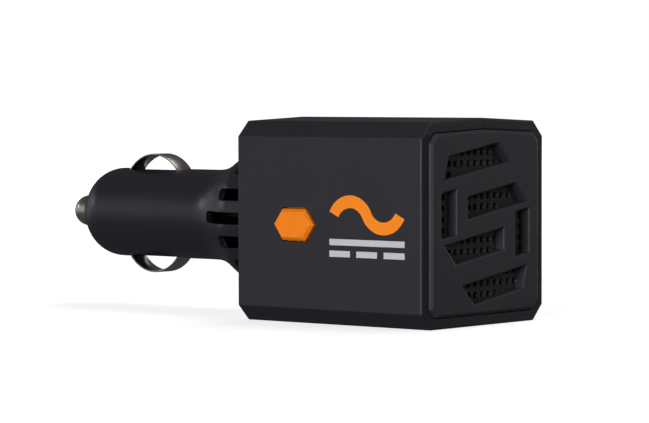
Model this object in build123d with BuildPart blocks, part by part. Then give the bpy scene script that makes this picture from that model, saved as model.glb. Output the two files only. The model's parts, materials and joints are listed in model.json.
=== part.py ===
from build123d import *
from math import cos, radians, sin, tan
import os

# Plug-in power inverter, millimetres.
# X runs along the plug: its tip points to -X and the air grille faces +X.  The button and badge
# face -Y, the outlets face +Y and Z is up.  The origin is the centre of the flat underside.

# ------------------------------------------------------------------ driving dimensions
# housing
body_length = 51.0
body_depth = 44.0
body_height = 44.0
edge_chamfer = 3.4
edge_round = 0.45
crown_rise = 0.75  # the roof rises to a ridge along the parting line
wall = 2.0
plug_end_wall = 2.2
fit_gap = 0.15
cut_past = 1.0  # how far a cut starts outside the face it opens

# neck and plug barrel; their lengths are counted from the housing's plug end
barrel_radius = 10.4
barrel_wall = 1.8
collar_radius = 15.4
collar_length = 9.4
flare_length = 24.5
flare_middle_length = 13.4
flare_middle_rise = 3.7
barrel_end = 53.9
collar_root = 1.0  # how far the collar runs into the housing's end wall
nose_round = 8.0
nose_angle = 43.0
nose_face_radius = 4.9
bulkhead_start = 27.4
bulkhead_thickness = 1.6

# air slots in the neck
slot_height = 2.7
slot_pitch = 5.35
slot_starts = (18.5, 13.0, 9.8)  # the middle slot, its neighbours, the outer pair
slot_end = 1.2
slot_corner = 0.9

# bowed side contacts
contact_width = 5.0
contact_thickness = 0.4
contact_from_body = 42.8
contact_height = 3.5  # the bow's peak over the barrel
contact_bend = 9.3
contact_foot_depth = 2.5  # middle of the foot under the barrel's surface
contact_foot = 1.9
window_end_gap = 0.7

# tip contact, nose ring, fuse and spring
tip_radius = 3.65
tip_length = 5.92  # beyond the nose ring
tip_straight = 2.3
tip_flat_radius = 0.5
tip_bulge = 0.9  # of the dome over a straight cone
tip_run_fit = 0.07
tip_flange_radius = 4.4
tip_flange_thickness = 1.2
tip_cup_depth = 3.0
ring_wall = 0.62
ring_round = 0.2
ring_length = 0.3  # beyond the nose
ring_flange_radius = 4.9
ring_flange_thickness = 1.6
ring_flange_inset = 1.5  # under the face of the nose
fuse_radius = 2.6
fuse_length = 20.0
fuse_cap_length = 5.2
fuse_wall = 0.5
fuse_wire_radius = 0.15
spring_radius = 2.1
spring_wire = 0.25
spring_turns = 6
seat_radius = 3.9
seat_thickness = 1.2

# end grille
rim_width = 2.3
panel_gap = 0.2
panel_rise = 0.85
panel_bevel = 0.6
channel_depth = 2.3
channel_width = 4.7
side_channel_width = 5.2
channel_slope = 8.5
channel_bevel = 0.3
outer_channel_ends = (-14.9, 8.4)  # along Y, on the channel's lower side
outer_channel_rise = 12.0  # of its middle line over the axis, at its first end
outer_channel_leans = (1.5, 4.0)
inner_channel_ends = (-6.5, 14.8)
inner_channel_rise = 3.5
inner_channel_leans = (0.0, 4.0)
side_channel_edge = -15.9
side_channel_ends = (-2.9, 6.8)  # along Z, counted from the axis
screen_thickness = 1.1
screen_lap = 1.1  # how far the screen's edge goes into the wall
screen_hole_radius = 0.74
screen_pitch = 2.37
screen_phase = 0.5  # the grid's middle lines lie this share of a pitch off centre
screen_hole_cover = 0.25  # least distance from a hole's middle to the channel's side
peg_radius = 0.8
peg_reach = 16.2

# button
button_width = 11.3
button_height = 6.9
button_flat = 6.4
button_rise = 0.95
button_bevel = 0.7
button_gap = 0.25
button_flange = 0.9
button_flange_thickness = 1.0
button_travel = 0.8
button_from_plug_end = 16.3
button_drop = 0.4  # below mid-height
button_stem_radius = 2.0

# badge: a plain wave over a solid line and a broken line
badge_from_plug_end = 36.3
wave_length = 17.9
wave_rise = 2.8
wave_stroke = 2.7
bar_length = 20.4
bar_height = 1.35
bar_gap = 1.15
dash_gap = 1.8
dash_count = 3
badge_inset = 0.3
badge_proud = 0.05

# circuit board and what stands on it
board_thickness = 1.6
board_length = 33.0
board_stand = 5.6  # from the front wall to the board
buttress_gap = 0.1  # between a screw boss and the board or the outlet's flange
board_gap = 0.5
stand_off_radius = 1.9
stand_off_inset = 1.5
pin_radius = 0.7
switch_size = 6.0
switch_height = 3.5
plunger_radius = 1.6
plunger_well = 2.3  # depth of the hole that the plunger slides in
plunger_held = 1.2  # how much of it is in the hole at rest
core_length = 17.0
core_height = 14.0
core_depth = 13.0
core_leg = 3.0
core_from_middle = (-4.7, 6.2)
cap_radius = 3.15
cap_height = 11.0
cap_round = 0.4
cap_spacing = 7.0
cap_from_middle = (-12.9, -8.0)
choke_radius = 4.1
choke_bore = 1.7
choke_height = 4.0
choke_wire = 0.7
choke_turn = 300.0  # how far round the ring the winding goes
choke_from_middle = (1.6, -8.0)
mosfet_size = (9.0, 4.4, 9.2)
mosfet_pitch = 10.4
mosfet_from_middle = (10.9, -2.4)
sink_base = 1.6
sink_depth = 6.0
sink_length = 20.4
sink_fins = 5
sink_fin_thickness = 0.9
film_cap_size = (9.0, 8.0, 4.2)
chip_size = (5.0, 1.5, 4.0)
wire_radius = 0.55
wire_bend = 2.0

# fan
fan_size = 35.0
fan_depth = 10.0
fan_rim = 1.1  # between the bore and the frame's flat sides
fan_corner = 2.5
fan_from_screen = 0.4
fan_ledge = 1.1
fan_rib = 1.2
fan_hub_radius = 8.2
fan_hub_wall = 0.9
fan_blades = 7
blade_chord = 8.0
blade_pitch = 42.0
blade_thickness = 0.9
blade_tip_gap = 0.5
fan_spokes = 4
spoke_width = 2.0
spoke_thickness = 1.2
motor_gap = 0.4
coil_poles = 4
coil_pole_place = 0.66  # these three are shares of the coils' outer radius
coil_pole_length = 0.6
coil_pole_width = 0.7
magnet_thickness = 1.0
bearing_radius = 2.2
shaft_radius = 1.0
shaft_run_fit = 0.04

# mains outlet and USB socket on the back
outlet_from_plug_end = 16.5
outlet_width = 22.0
outlet_full_height = 24.6
outlet_corner = 2.5
outlet_proud = 0.6
outlet_flange = 1.1
outlet_flange_thickness = 1.7
outlet_depth = 18.2
face_thickness = 3.0
back_thickness = 1.2
chamber_gap = 0.2
blade_spacing = 12.7
ground_drop = 11.9
ground_radius = 2.6
blade_slot_width = 2.0
line_slot_height = 7.2
neutral_slot_height = 8.6
clip_leaf = 0.5
clip_opening = 1.7
clip_height = 6.2
clip_tail = (0.8, 2.4, 2.0)
usb_from_plug_end = 32.85
usb_width = 5.7
usb_height = 13.1
usb_metal = 0.35
usb_depth = 13.0
usb_inset = 0.2
tongue_width = 1.9
tongue_offset = 0.9
tongue_setback = 1.5
tongue_root_length = 1.0
usb_pin_places = (-3.5, -1.0, 1.0, 3.5)
usb_pin_size = (0.25, 8.0, 1.0)
usb_board_size = (6.6, 1.4, 19.0)

# case screws
boss_radius = 2.9
boss_inset = 3.6  # from the inner wall to the boss's centre
boss_merge = 0.5  # how far the bosses near the fan run into its ledge
screw_radius = 1.1
screw_head_radius = 1.9
screw_head_height = 1.5
screw_recess = 5.0
screw_length = 22.0
screw_drive = 1.6
screw_drive_slot = 0.4
thread_fit = 0.02

# ------------------------------------------------------------------ places worked out from them
half_depth = body_depth / 2
axis_z = body_height / 2
plug_face = -body_length / 2
grille_end = body_length / 2
front_inner = -half_depth + wall
back_inner = half_depth - wall
plug_axis = Axis((0, 0, axis_z), (1, 0, 0))

nose_slope = tan(radians(nose_angle))
cone_start = barrel_end + nose_round * sin(radians(nose_angle))
cone_start_radius = barrel_radius - nose_round * (1 - cos(radians(nose_angle)))
nose_end = cone_start + (cone_start_radius - nose_face_radius) / nose_slope
ring_bore = tip_radius + tip_run_fit
ring_radius = ring_bore + ring_wall
ring_face = nose_end + ring_length
ring_flange_front = nose_end - ring_flange_inset
ring_flange_back = ring_flange_front - ring_flange_thickness
fuse_front = ring_flange_back - tip_flange_thickness + tip_cup_depth * 0.2
fuse_back = fuse_front - fuse_length
seat_front = bulkhead_start + bulkhead_thickness + seat_thickness

strip_peak = barrel_radius + contact_height - contact_thickness / 2  # of the strip's middle line
strip_foot = barrel_radius - contact_foot_depth
strip_centre = strip_peak - contact_bend  # of the bow's arc, over the axis
strip_half_chord = (contact_bend**2 - (strip_foot - strip_centre) ** 2) ** 0.5
window_half = (contact_bend**2 - (barrel_radius - barrel_wall - strip_centre) ** 2) ** 0.5
window_width = contact_width + 2 * fit_gap

panel_face = grille_end + panel_rise
screen_front = panel_face - channel_depth
screen_back = screen_front - screen_thickness
fan_front = screen_back - fan_from_screen
fan_back = fan_front - fan_depth

button_x = plug_face + button_from_plug_end
button_z = axis_z - button_drop
badge_x = plug_face + badge_from_plug_end
between_bosses = body_height - 2 * (wall + boss_inset + boss_radius + buttress_gap)
board_x = plug_face + plug_end_wall + board_gap + board_length / 2
board_height = between_bosses
board_front = front_inner + board_stand
board_back = board_front + board_thickness
fan_bore_radius = fan_size / 2 - fan_rim
boss_places = [
    (x, z)
    for x in (plug_face + plug_end_wall + boss_inset, fan_back - fan_ledge - boss_radius + boss_merge)
    for z in (wall + boss_inset, body_height - wall - boss_inset)
]
screw_seat = half_depth - screw_recess

outlet_x = plug_face + outlet_from_plug_end
outlet_height = min(outlet_full_height, between_bosses - 2 * outlet_flange)
outlet_face = half_depth + outlet_proud
outlet_back = outlet_face - outlet_depth
chamber_front = outlet_face - face_thickness
chamber_back = outlet_back + back_thickness
blade_z = axis_z + (ground_drop + ground_radius - neutral_slot_height / 2) / 2
ground_z = blade_z - ground_drop
blade_xs = (outlet_x - blade_spacing / 2, outlet_x + blade_spacing / 2)
usb_x = plug_face + usb_from_plug_end
usb_face = half_depth - usb_inset
usb_back = usb_face - usb_depth


def along(distance):
    """X of a place this far out from the housing's plug end."""
    return plug_face - distance


def across(x):
    """Plane square to the plug's axis, its own axes running along Y and Z."""
    return Plane.YZ.offset(x)


def facing_front(y):
    """Plane that faces the front, its own axes running along X and Z."""
    return Plane.XZ.offset(-y)


def octagon(margin):
    """The housing's section, this far inside its outer faces."""
    side = half_depth - margin
    top = body_height - margin
    cut = edge_chamfer - margin * (2 - 2**0.5)
    with BuildSketch() as section:
        with BuildLine():
            Polyline(
                (-side, margin + cut),
                (-side + cut, margin),
                (side - cut, margin),
                (side, margin + cut),
                (side, top - cut),
                (side - cut, top),
                (0, top + crown_rise),
                (-side + cut, top),
                (-side, top - cut),
                close=True,
            )
        make_face()
    return section.sketch


def plug_section(inset, root, end_radius):
    """Half section of collar, flare, barrel and nose, moved in by a wall thickness."""
    collar = axis_z + collar_radius - inset
    barrel = axis_z + barrel_radius - inset
    bend = nose_round - inset
    centre = axis_z + barrel_radius - nose_round
    turn = radians(nose_angle)
    arc_end = (along(barrel_end + bend * sin(turn)), centre + bend * cos(turn))
    nose_x = arc_end[0] - (arc_end[1] - axis_z - end_radius) / nose_slope
    with BuildSketch() as section:
        with BuildLine():
            Polyline(
                (along(collar_length), collar),
                (plug_face + root, collar),
                (plug_face + root, axis_z),
                (nose_x, axis_z),
                (nose_x, axis_z + end_radius),
                arc_end,
            )
            ThreePointArc(
                arc_end,
                (along(barrel_end + bend * sin(turn / 2)), centre + bend * cos(turn / 2)),
                (along(barrel_end), barrel),
            )
            Line((along(barrel_end), barrel), (along(flare_length), barrel))
            Spline(
                (along(flare_length), barrel),
                (along(flare_middle_length), barrel + flare_middle_rise),
                (along(collar_length), collar),
                tangents=((1, 0), (1, 0)),
            )
        make_face()
    return section.sketch


def ring_of(outer, inner):
    """A round ring about the plug's axis, on a plane from across()."""
    with Locations((0, axis_z)):
        Circle(outer)
        Circle(inner, mode=Mode.SUBTRACT)


def disc(radius):
    """A round disc about the plug's axis, on a plane from across()."""
    with Locations((0, axis_z)):
        Circle(radius)


# ------------------------------------------------------------------ housing, whole, then halved
with BuildPart() as housing:
    with BuildSketch(across(plug_face)):
        add(octagon(0))
    extrude(amount=body_length)
    ridge = housing.edges().filter_by(Axis.X).sort_by(Axis.Z)[-1]
    fillet([edge for edge in housing.edges() if edge @ 0 != ridge @ 0], edge_round)
    with BuildSketch(Plane.XZ):
        add(plug_section(0, collar_root, nose_face_radius))
    revolve(axis=plug_axis)

    # the hollow: room for the works, groove for the screen, opening for the grille panel
    with BuildSketch(across(plug_face + plug_end_wall)):
        add(octagon(wall))
    extrude(amount=screen_back - fit_gap - plug_face - plug_end_wall, mode=Mode.SUBTRACT)
    with BuildSketch(across(screen_back - fit_gap)):
        add(octagon(wall - screen_lap))
    extrude(amount=screen_thickness + 2 * fit_gap, mode=Mode.SUBTRACT)
    with BuildSketch(across(screen_front)):
        add(octagon(rim_width))
    extrude(amount=channel_depth, mode=Mode.SUBTRACT)
    with BuildSketch(Plane.XZ):
        add(plug_section(barrel_wall, plug_end_wall + cut_past, ring_flange_radius + fit_gap))
    revolve(axis=plug_axis, mode=Mode.SUBTRACT)

    # nose: pocket for the ring's flange, hole for the ring
    with BuildSketch(across(along(ring_flange_front))):
        disc(ring_flange_radius + fit_gap)
    extrude(amount=ring_flange_thickness + fit_gap, mode=Mode.SUBTRACT)
    with BuildSketch(across(along(nose_end + cut_past))):
        disc(ring_radius + thread_fit)
    extrude(amount=ring_flange_inset + 2 * cut_past, mode=Mode.SUBTRACT)

    # bulkhead behind the spring's seat
    with BuildSketch(across(along(bulkhead_start + bulkhead_thickness))):
        disc(barrel_radius - barrel_wall / 2)
    extrude(amount=bulkhead_thickness)

    # ledge and ribs that hold the fan
    with BuildSketch(across(fan_back - fan_ledge)):
        add(octagon(wall / 2))
        with Locations((0, axis_z)):
            Circle(fan_bore_radius + fit_gap, mode=Mode.SUBTRACT)
    extrude(amount=fan_ledge)
    rib_inner = fan_size / 2 + fit_gap
    rib_depth = half_depth - wall / 2 - rib_inner
    with BuildSketch(across(fan_back - fan_ledge)):
        with Locations((0, axis_z)):
            with PolarLocations(rib_inner + rib_depth / 2, 4):
                with GridLocations(0, fan_size / 2, 1, 2):
                    Rectangle(rib_depth, fan_rib)
    extrude(amount=fan_ledge + fan_depth)

    # screw bosses across the corners
    with BuildSketch(facing_front(half_depth - wall / 2)):
        with Locations(*boss_places):
            Circle(boss_radius)
    extrude(amount=body_depth - wall)

    # windows for the side contacts, above and below
    with BuildSketch(Plane.XY.offset(axis_z)):
        with Locations((along(contact_from_body), 0)):
            Rectangle(2 * (window_half + window_end_gap), window_width)
    extrude(amount=barrel_radius + cut_past, both=True, mode=Mode.SUBTRACT)

    # air slots through both sides of the neck
    with BuildSketch(Plane.XZ):
        for step in range(-2, 3):
            start = slot_starts[abs(step)]
            with Locations((along((start + slot_end) / 2), axis_z + step * slot_pitch)):
                RectangleRounded(start - slot_end, slot_height, slot_corner)
    extrude(amount=collar_radius + cut_past, both=True, mode=Mode.SUBTRACT)

hexagon_points = [
    (-button_width / 2, 0),
    (-button_flat / 2, button_height / 2),
    (button_flat / 2, button_height / 2),
    (button_width / 2, 0),
    (button_flat / 2, -button_height / 2),
    (-button_flat / 2, -button_height / 2),
]


def hexagon(margin):
    """The button's long hexagon, grown by a margin, on a plane that faces the front."""
    with BuildSketch() as section:
        with Locations((button_x, button_z)):
            Polygon(*hexagon_points)
        if margin:
            offset(amount=margin, kind=Kind.INTERSECTION)
    return section.sketch


def wave_outline(margin):
    """The badge's wave: two opposite arcs drawn with one broad stroke."""
    with BuildSketch() as section:
        with BuildLine():
            ThreePointArc(
                (badge_x - wave_length / 2, wave_z),
                (badge_x - wave_length / 4, wave_z + wave_rise),
                (badge_x, wave_z),
            )
            ThreePointArc(
                (badge_x, wave_z),
                (badge_x + wave_length / 4, wave_z - wave_rise),
                (badge_x + wave_length / 2, wave_z),
            )
        trace(line_width=wave_stroke + 2 * margin)
    return section.sketch


def bars_outline(margin):
    """The badge's solid line with three dashes under it."""
    dash = (bar_length - (dash_count - 1) * dash_gap) / dash_count
    with BuildSketch() as section:
        with Locations((badge_x, solid_bar_z)):
            Rectangle(bar_length + 2 * margin, bar_height + 2 * margin)
        with Locations((badge_x, dashed_bar_z)):
            with GridLocations(dash + dash_gap, 0, dash_count, 1):
                Rectangle(dash + 2 * margin, bar_height + 2 * margin)
    return section.sketch


wave_height = 2 * wave_rise + wave_stroke
badge_height = wave_height + 2 * (bar_height + bar_gap)
wave_z = button_z + badge_height / 2 - wave_height / 2
solid_bar_z = wave_z - wave_height / 2 - bar_gap - bar_height / 2
dashed_bar_z = solid_bar_z - bar_gap - bar_height

stand_off_places = [
    (board_x + i * (board_length / 2 - stand_off_inset), axis_z + j * (board_height / 2 - stand_off_inset))
    for i in (-1, 1)
    for j in (-1, 1)
]

with BuildPart() as front_shell:
    add(housing.part)
    split(bisect_by=Plane.XZ, keep=Keep.TOP)
    with BuildSketch(facing_front(-half_depth)):
        add(hexagon(button_gap))
    extrude(amount=-wall, mode=Mode.SUBTRACT)
    with BuildSketch(facing_front(-half_depth)):
        add(wave_outline(0))
        add(bars_outline(0))
    extrude(amount=-badge_inset, mode=Mode.SUBTRACT)
    with BuildSketch(facing_front(0)):
        with Locations(*boss_places):
            Circle(screw_radius + thread_fit)
    extrude(amount=screw_length - screw_seat + fit_gap, mode=Mode.SUBTRACT)
    # stand-offs with pins that the circuit board sits on
    with BuildSketch(facing_front(front_inner)):
        with Locations(*stand_off_places):
            Circle(stand_off_radius)
    extrude(amount=front_inner - board_front)
    with BuildSketch(facing_front(front_inner)):
        with Locations(*stand_off_places):
            Circle(pin_radius)
    extrude(amount=front_inner - board_back)
front_shell.part.label = "front_shell"

with BuildPart() as rear_shell:
    add(housing.part)
    split(bisect_by=Plane.XZ, keep=Keep.BOTTOM)
    with BuildSketch(facing_front(half_depth)):
        with Locations((outlet_x, axis_z)):
            RectangleRounded(
                outlet_width + 2 * fit_gap, outlet_height + 2 * fit_gap, outlet_corner + fit_gap
            )
        with Locations((usb_x, axis_z)):
            RectangleRounded(usb_width + 2 * fit_gap, usb_height + 2 * fit_gap, fit_gap)
    extrude(amount=wall, mode=Mode.SUBTRACT)
    with BuildSketch(facing_front(half_depth)):
        with Locations(*boss_places):
            Circle(screw_head_radius + fit_gap)
    extrude(amount=screw_recess, mode=Mode.SUBTRACT)
    with BuildSketch(facing_front(half_depth)):
        with Locations(*boss_places):
            Circle(screw_radius + fit_gap)
    extrude(amount=half_depth, mode=Mode.SUBTRACT)
rear_shell.part.label = "rear_shell"

with BuildPart() as case_screws:
    with BuildSketch(facing_front(screw_seat)):
        with Locations(*boss_places):
            Circle(screw_radius)
    extrude(amount=screw_length)
    with BuildSketch(facing_front(screw_seat)):
        with Locations(*boss_places):
            Circle(screw_head_radius)
    extrude(amount=-screw_head_height)
    with BuildSketch(facing_front(screw_seat + screw_head_height)):
        for place in boss_places:
            with Locations(place):
                Rectangle(screw_drive, screw_drive_slot)
                Rectangle(screw_drive_slot, screw_drive)
    extrude(amount=screw_head_height / 2, mode=Mode.SUBTRACT)
case_screws.part.label = "case_screws"

# ------------------------------------------------------------------ badge
with BuildPart() as badge_wave:
    with BuildSketch(facing_front(-half_depth + badge_inset)):
        add(wave_outline(0))
    extrude(amount=badge_inset + badge_proud)
badge_wave.part.label = "badge_wave"

with BuildPart() as badge_bars:
    with BuildSketch(facing_front(-half_depth + badge_inset)):
        add(bars_outline(0))
    extrude(amount=badge_inset + badge_proud)
badge_bars.part.label = "badge_bars"

# ------------------------------------------------------------------ button and its switch
flange_back = front_inner + button_flange_thickness
switch_front = board_front - switch_height

with BuildPart() as power_button:
    with BuildSketch(facing_front(-half_depth)):
        add(hexagon(0))
    extrude(amount=button_rise)
    chamfer(power_button.faces().sort_by(Axis.Y)[0].edges(), length=button_bevel)
    with BuildSketch(facing_front(front_inner)):
        add(hexagon(0))
    extrude(amount=wall)
    with BuildSketch(facing_front(front_inner)):
        add(hexagon(button_flange))
    extrude(amount=-button_flange_thickness)
    with BuildSketch(facing_front(flange_back)):
        with Locations((button_x, button_z)):
            Circle(button_stem_radius)
    extrude(amount=-(switch_front - button_travel - fit_gap - flange_back))
power_button.part.label = "power_button"

with BuildPart() as switch_body:
    with BuildSketch(facing_front(board_front)):
        with Locations((button_x, button_z)):
            RectangleRounded(switch_size, switch_size, fit_gap)
    extrude(amount=switch_height)
    with BuildSketch(facing_front(switch_front)):
        with Locations((button_x, button_z)):
            Circle(plunger_radius + fit_gap)
    extrude(amount=-plunger_well, mode=Mode.SUBTRACT)
switch_body.part.label = "switch_body"

with BuildPart() as switch_plunger:
    with BuildSketch(facing_front(switch_front - button_travel - fit_gap)):
        with Locations((button_x, button_z)):
            Circle(plunger_radius)
    extrude(amount=-(plunger_held + button_travel + fit_gap))
switch_plunger.part.label = "switch_plunger"

# ------------------------------------------------------------------ grille panel and screen
slope = tan(radians(channel_slope))


def slanted_channel(start, end, rise, start_lean, end_lean, width):
    """Corners of one slanted air channel; a lean moves an end's top corner back along the channel."""
    return [
        (start, rise - width / 2),
        (end, rise + slope * (end - start) - width / 2),
        (end - end_lean, rise + slope * (end - end_lean - start) + width / 2),
        (start + start_lean, rise + slope * start_lean + width / 2),
    ]


def side_channel(side, bottom, top, width):
    """Corners of one upright air channel with slanted ends."""
    lift = slope * width
    return [(side, bottom), (side + width, bottom + lift), (side + width, top + lift), (side, top)]


def turned(points):
    """The same outline given half a turn about the middle of the panel."""
    return [(-y, -z) for y, z in points]


def centroid_of(points):
    """Mean of an outline's corners."""
    return tuple(sum(values) / len(points) for values in zip(*points))


channels = [
    slanted_channel(*outer_channel_ends, outer_channel_rise, *outer_channel_leans, channel_width),
    slanted_channel(*inner_channel_ends, inner_channel_rise, *inner_channel_leans, channel_width),
    side_channel(side_channel_edge, *side_channel_ends, side_channel_width),
]
channels += [turned(outline) for outline in channels]


def inside(point, outline, margin):
    """True where a point lies in a convex outline, at least a margin from its sides."""
    centre = centroid_of(outline)
    for (ay, az), (by, bz) in zip(outline, outline[1:] + outline[:1]):
        length = ((by - ay) ** 2 + (bz - az) ** 2) ** 0.5
        reach = ((by - ay) * (point[1] - az) - (bz - az) * (point[0] - ay)) / length
        middle = ((by - ay) * (centre[1] - az) - (bz - az) * (centre[0] - ay)) / length
        if reach * middle < 0 or abs(reach) < margin:
            return False
    return True


grid_steps = int(half_depth / screen_pitch)
grid_lines = [(step + screen_phase) * screen_pitch for step in range(-grid_steps, grid_steps)]
hole_places = [
    (y, axis_z + z)
    for y in grid_lines
    for z in grid_lines
    if any(inside((y, z), outline, screen_hole_cover) for outline in channels)
]
peg_places = [(i * peg_reach, axis_z + j * peg_reach) for i in (-1, 1) for j in (-1, 1)]

with BuildPart() as grille_panel:
    with BuildSketch(across(screen_front)):
        add(octagon(rim_width + panel_gap))
    extrude(amount=channel_depth)
    chamfer(grille_panel.faces().sort_by(Axis.X)[-1].edges(), length=panel_bevel)
    with BuildSketch(across(panel_face)):
        with Locations((0, axis_z)):
            for outline in channels:
                Polygon(*outline, align=None)
    extrude(amount=-channel_depth, mode=Mode.SUBTRACT)
    mouths = grille_panel.faces().sort_by(Axis.X)[-1].inner_wires()
    chamfer([edge for mouth in mouths for edge in mouth.edges()], length=channel_bevel)
    with BuildSketch(across(screen_front)):
        with Locations(*peg_places):
            Circle(peg_radius)
    extrude(amount=-screen_thickness)
grille_panel.part.label = "grille_panel"

with BuildPart() as perforated_screen:
    with BuildSketch(across(screen_back)):
        add(octagon(wall - screen_lap + fit_gap))
        with Locations(*hole_places):
            Circle(screen_hole_radius, mode=Mode.SUBTRACT)
        with Locations(*peg_places):
            Circle(peg_radius + thread_fit, mode=Mode.SUBTRACT)
    extrude(amount=screen_thickness)
perforated_screen.part.label = "perforated_screen"

# ------------------------------------------------------------------ side contacts
def bowed_strip(side):
    """Spring strip over one side of the barrel: a foot, the bow and the other foot."""

    def place(x, height):
        return (along(contact_from_body) + x, axis_z + side * height)

    with BuildLine() as path:
        Line(place(-strip_half_chord - contact_foot, strip_foot), place(-strip_half_chord, strip_foot))
        ThreePointArc(
            place(-strip_half_chord, strip_foot), place(0, strip_peak), place(strip_half_chord, strip_foot)
        )
        Line(place(strip_half_chord, strip_foot), place(strip_half_chord + contact_foot, strip_foot))
    with BuildSketch() as section:
        trace(path.line, line_width=contact_thickness)
    return section.sketch


with BuildPart() as contact_top:
    with BuildSketch(facing_front(0)):
        add(bowed_strip(1))
    extrude(amount=contact_width / 2, both=True)
contact_top.part.label = "contact_top"

with BuildPart() as contact_bottom:
    with BuildSketch(facing_front(0)):
        add(bowed_strip(-1))
    extrude(amount=contact_width / 2, both=True)
contact_bottom.part.label = "contact_bottom"

# ------------------------------------------------------------------ tip contact, fuse, spring
flange_front = ring_flange_back
flange_rear = flange_front - tip_flange_thickness
cup_mouth = fuse_front - tip_cup_depth
tip_end = ring_face + tip_length
dome_start = ring_face + tip_straight

with BuildPart() as nose_ring:
    with BuildSketch(across(along(ring_flange_front))):
        ring_of(ring_flange_radius, ring_bore)
    extrude(amount=ring_flange_thickness)
    with BuildSketch(across(along(ring_face))):
        ring_of(ring_radius, ring_bore)
    extrude(amount=ring_face - ring_flange_front)
    fillet(nose_ring.faces().sort_by(Axis.X)[0].edges().sort_by(SortBy.RADIUS)[-1], ring_round)
nose_ring.part.label = "nose_ring"

with BuildPart() as tip_contact:
    with BuildSketch(Plane.XZ):
        with BuildLine():
            Polyline(
                (along(tip_end), axis_z + tip_flat_radius),
                (along(tip_end), axis_z),
                (along(cup_mouth), axis_z),
                (along(cup_mouth), axis_z + tip_radius),
                (along(flange_rear), axis_z + tip_radius),
                (along(flange_rear), axis_z + tip_flange_radius),
                (along(flange_front), axis_z + tip_flange_radius),
                (along(flange_front), axis_z + tip_radius),
                (along(dome_start), axis_z + tip_radius),
            )
            SagittaArc(
                (along(dome_start), axis_z + tip_radius),
                (along(tip_end), axis_z + tip_flat_radius),
                tip_bulge,
            )
        make_face()
    revolve(axis=plug_axis)
    with BuildSketch(across(along(cup_mouth))):
        disc(fuse_radius + thread_fit)
    extrude(amount=-tip_cup_depth, mode=Mode.SUBTRACT)
tip_contact.part.label = "tip_contact"

with BuildPart() as fuse_tube:
    with BuildSketch(across(along(fuse_front - fuse_wall))):
        ring_of(fuse_radius - fuse_wall, fuse_radius - 2 * fuse_wall)
    extrude(amount=fuse_length - 2 * fuse_wall)
fuse_tube.part.label = "fuse_tube"

with BuildPart() as fuse_caps:
    for face, inward in ((fuse_front, 1), (fuse_back, -1)):
        with BuildSketch(across(along(face))):
            disc(fuse_radius)
        extrude(amount=inward * fuse_cap_length)
        with BuildSketch(across(along(face - inward * fuse_wall))):
            disc(fuse_radius - fuse_wall)
        extrude(amount=inward * fuse_cap_length, mode=Mode.SUBTRACT)
fuse_caps.part.label = "fuse_caps"

with BuildPart() as fuse_wire:
    with BuildSketch(across(along(fuse_front - fuse_wall))):
        disc(fuse_wire_radius)
    extrude(amount=fuse_length - 2 * fuse_wall)
fuse_wire.part.label = "fuse_wire"

spring_length = fuse_back - seat_front
with BuildPart() as pin_spring:
    with BuildLine():
        coil = Helix(
            pitch=(spring_length - 2 * spring_wire) / spring_turns,
            height=spring_length - 2 * spring_wire,
            radius=spring_radius,
            center=(along(fuse_back - spring_wire), 0, axis_z),
            direction=(1, 0, 0),
        )
    with BuildSketch(Plane(origin=coil @ 0, z_dir=coil % 0)):
        Circle(spring_wire)
    sweep(is_frenet=True)
pin_spring.part.label = "pin_spring"

with BuildPart() as spring_seat:
    with BuildSketch(across(along(seat_front))):
        disc(seat_radius)
    extrude(amount=seat_thickness)
spring_seat.part.label = "spring_seat"

# ------------------------------------------------------------------ circuit board
middle = (board_x, axis_z)


def on_board(offset_from_middle):
    """X and Z of a place on the board, counted from the board's middle."""
    return (middle[0] + offset_from_middle[0], middle[1] + offset_from_middle[1])


with BuildPart() as main_board:
    with BuildSketch(facing_front(board_front)):
        with Locations(middle):
            Rectangle(board_length, board_height)
        with Locations(*stand_off_places):
            Circle(pin_radius + fit_gap, mode=Mode.SUBTRACT)
    extrude(amount=-board_thickness)
main_board.part.label = "main_board"

core_inner_length = core_length - 2 * core_leg
core_middle = on_board(core_from_middle)
with BuildPart() as transformer_core:
    with BuildSketch(facing_front(board_back)):
        with Locations(core_middle):
            Rectangle(core_length, core_leg * 2)
    extrude(amount=-core_depth)
    with BuildSketch(Plane.XY.offset(core_middle[1])):
        for side in (-1, 1):
            with Locations((core_middle[0] + side * core_inner_length / 4 + side * core_leg / 4,
                            board_back + core_depth / 2)):
                Rectangle(core_inner_length / 2 - core_leg / 2, core_depth - 2 * core_leg)
    extrude(amount=core_height, both=True, mode=Mode.SUBTRACT)
transformer_core.part.label = "transformer_core"

with BuildPart() as transformer_winding:
    with BuildSketch(facing_front(board_back + core_leg + fit_gap)):
        with Locations(core_middle):
            RectangleRounded(core_inner_length - 2 * fit_gap, core_height, core_leg)
            Rectangle(core_leg + 2 * fit_gap, core_leg * 2 + 2 * fit_gap, mode=Mode.SUBTRACT)
    extrude(amount=-(core_depth - 2 * core_leg - 2 * fit_gap))
transformer_winding.part.label = "transformer_winding"

with BuildPart() as input_capacitors:
    with BuildSketch(facing_front(board_back)):
        with Locations(on_board(cap_from_middle)):
            with Locations((0, 0), (cap_spacing, 0)):
                Circle(cap_radius)
    extrude(amount=-cap_height)
    fillet(input_capacitors.faces().group_by(Axis.Y)[-1].edges(), cap_round)
input_capacitors.part.label = "input_capacitors"

choke_middle = on_board(choke_from_middle)
core_outer = choke_radius - choke_wire
with BuildPart() as choke_core:
    with BuildSketch(facing_front(board_back + choke_wire)):
        with Locations(choke_middle):
            Circle(core_outer)
            Circle(choke_bore, mode=Mode.SUBTRACT)
    extrude(amount=-choke_height)
choke_core.part.label = "choke_core"

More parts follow.
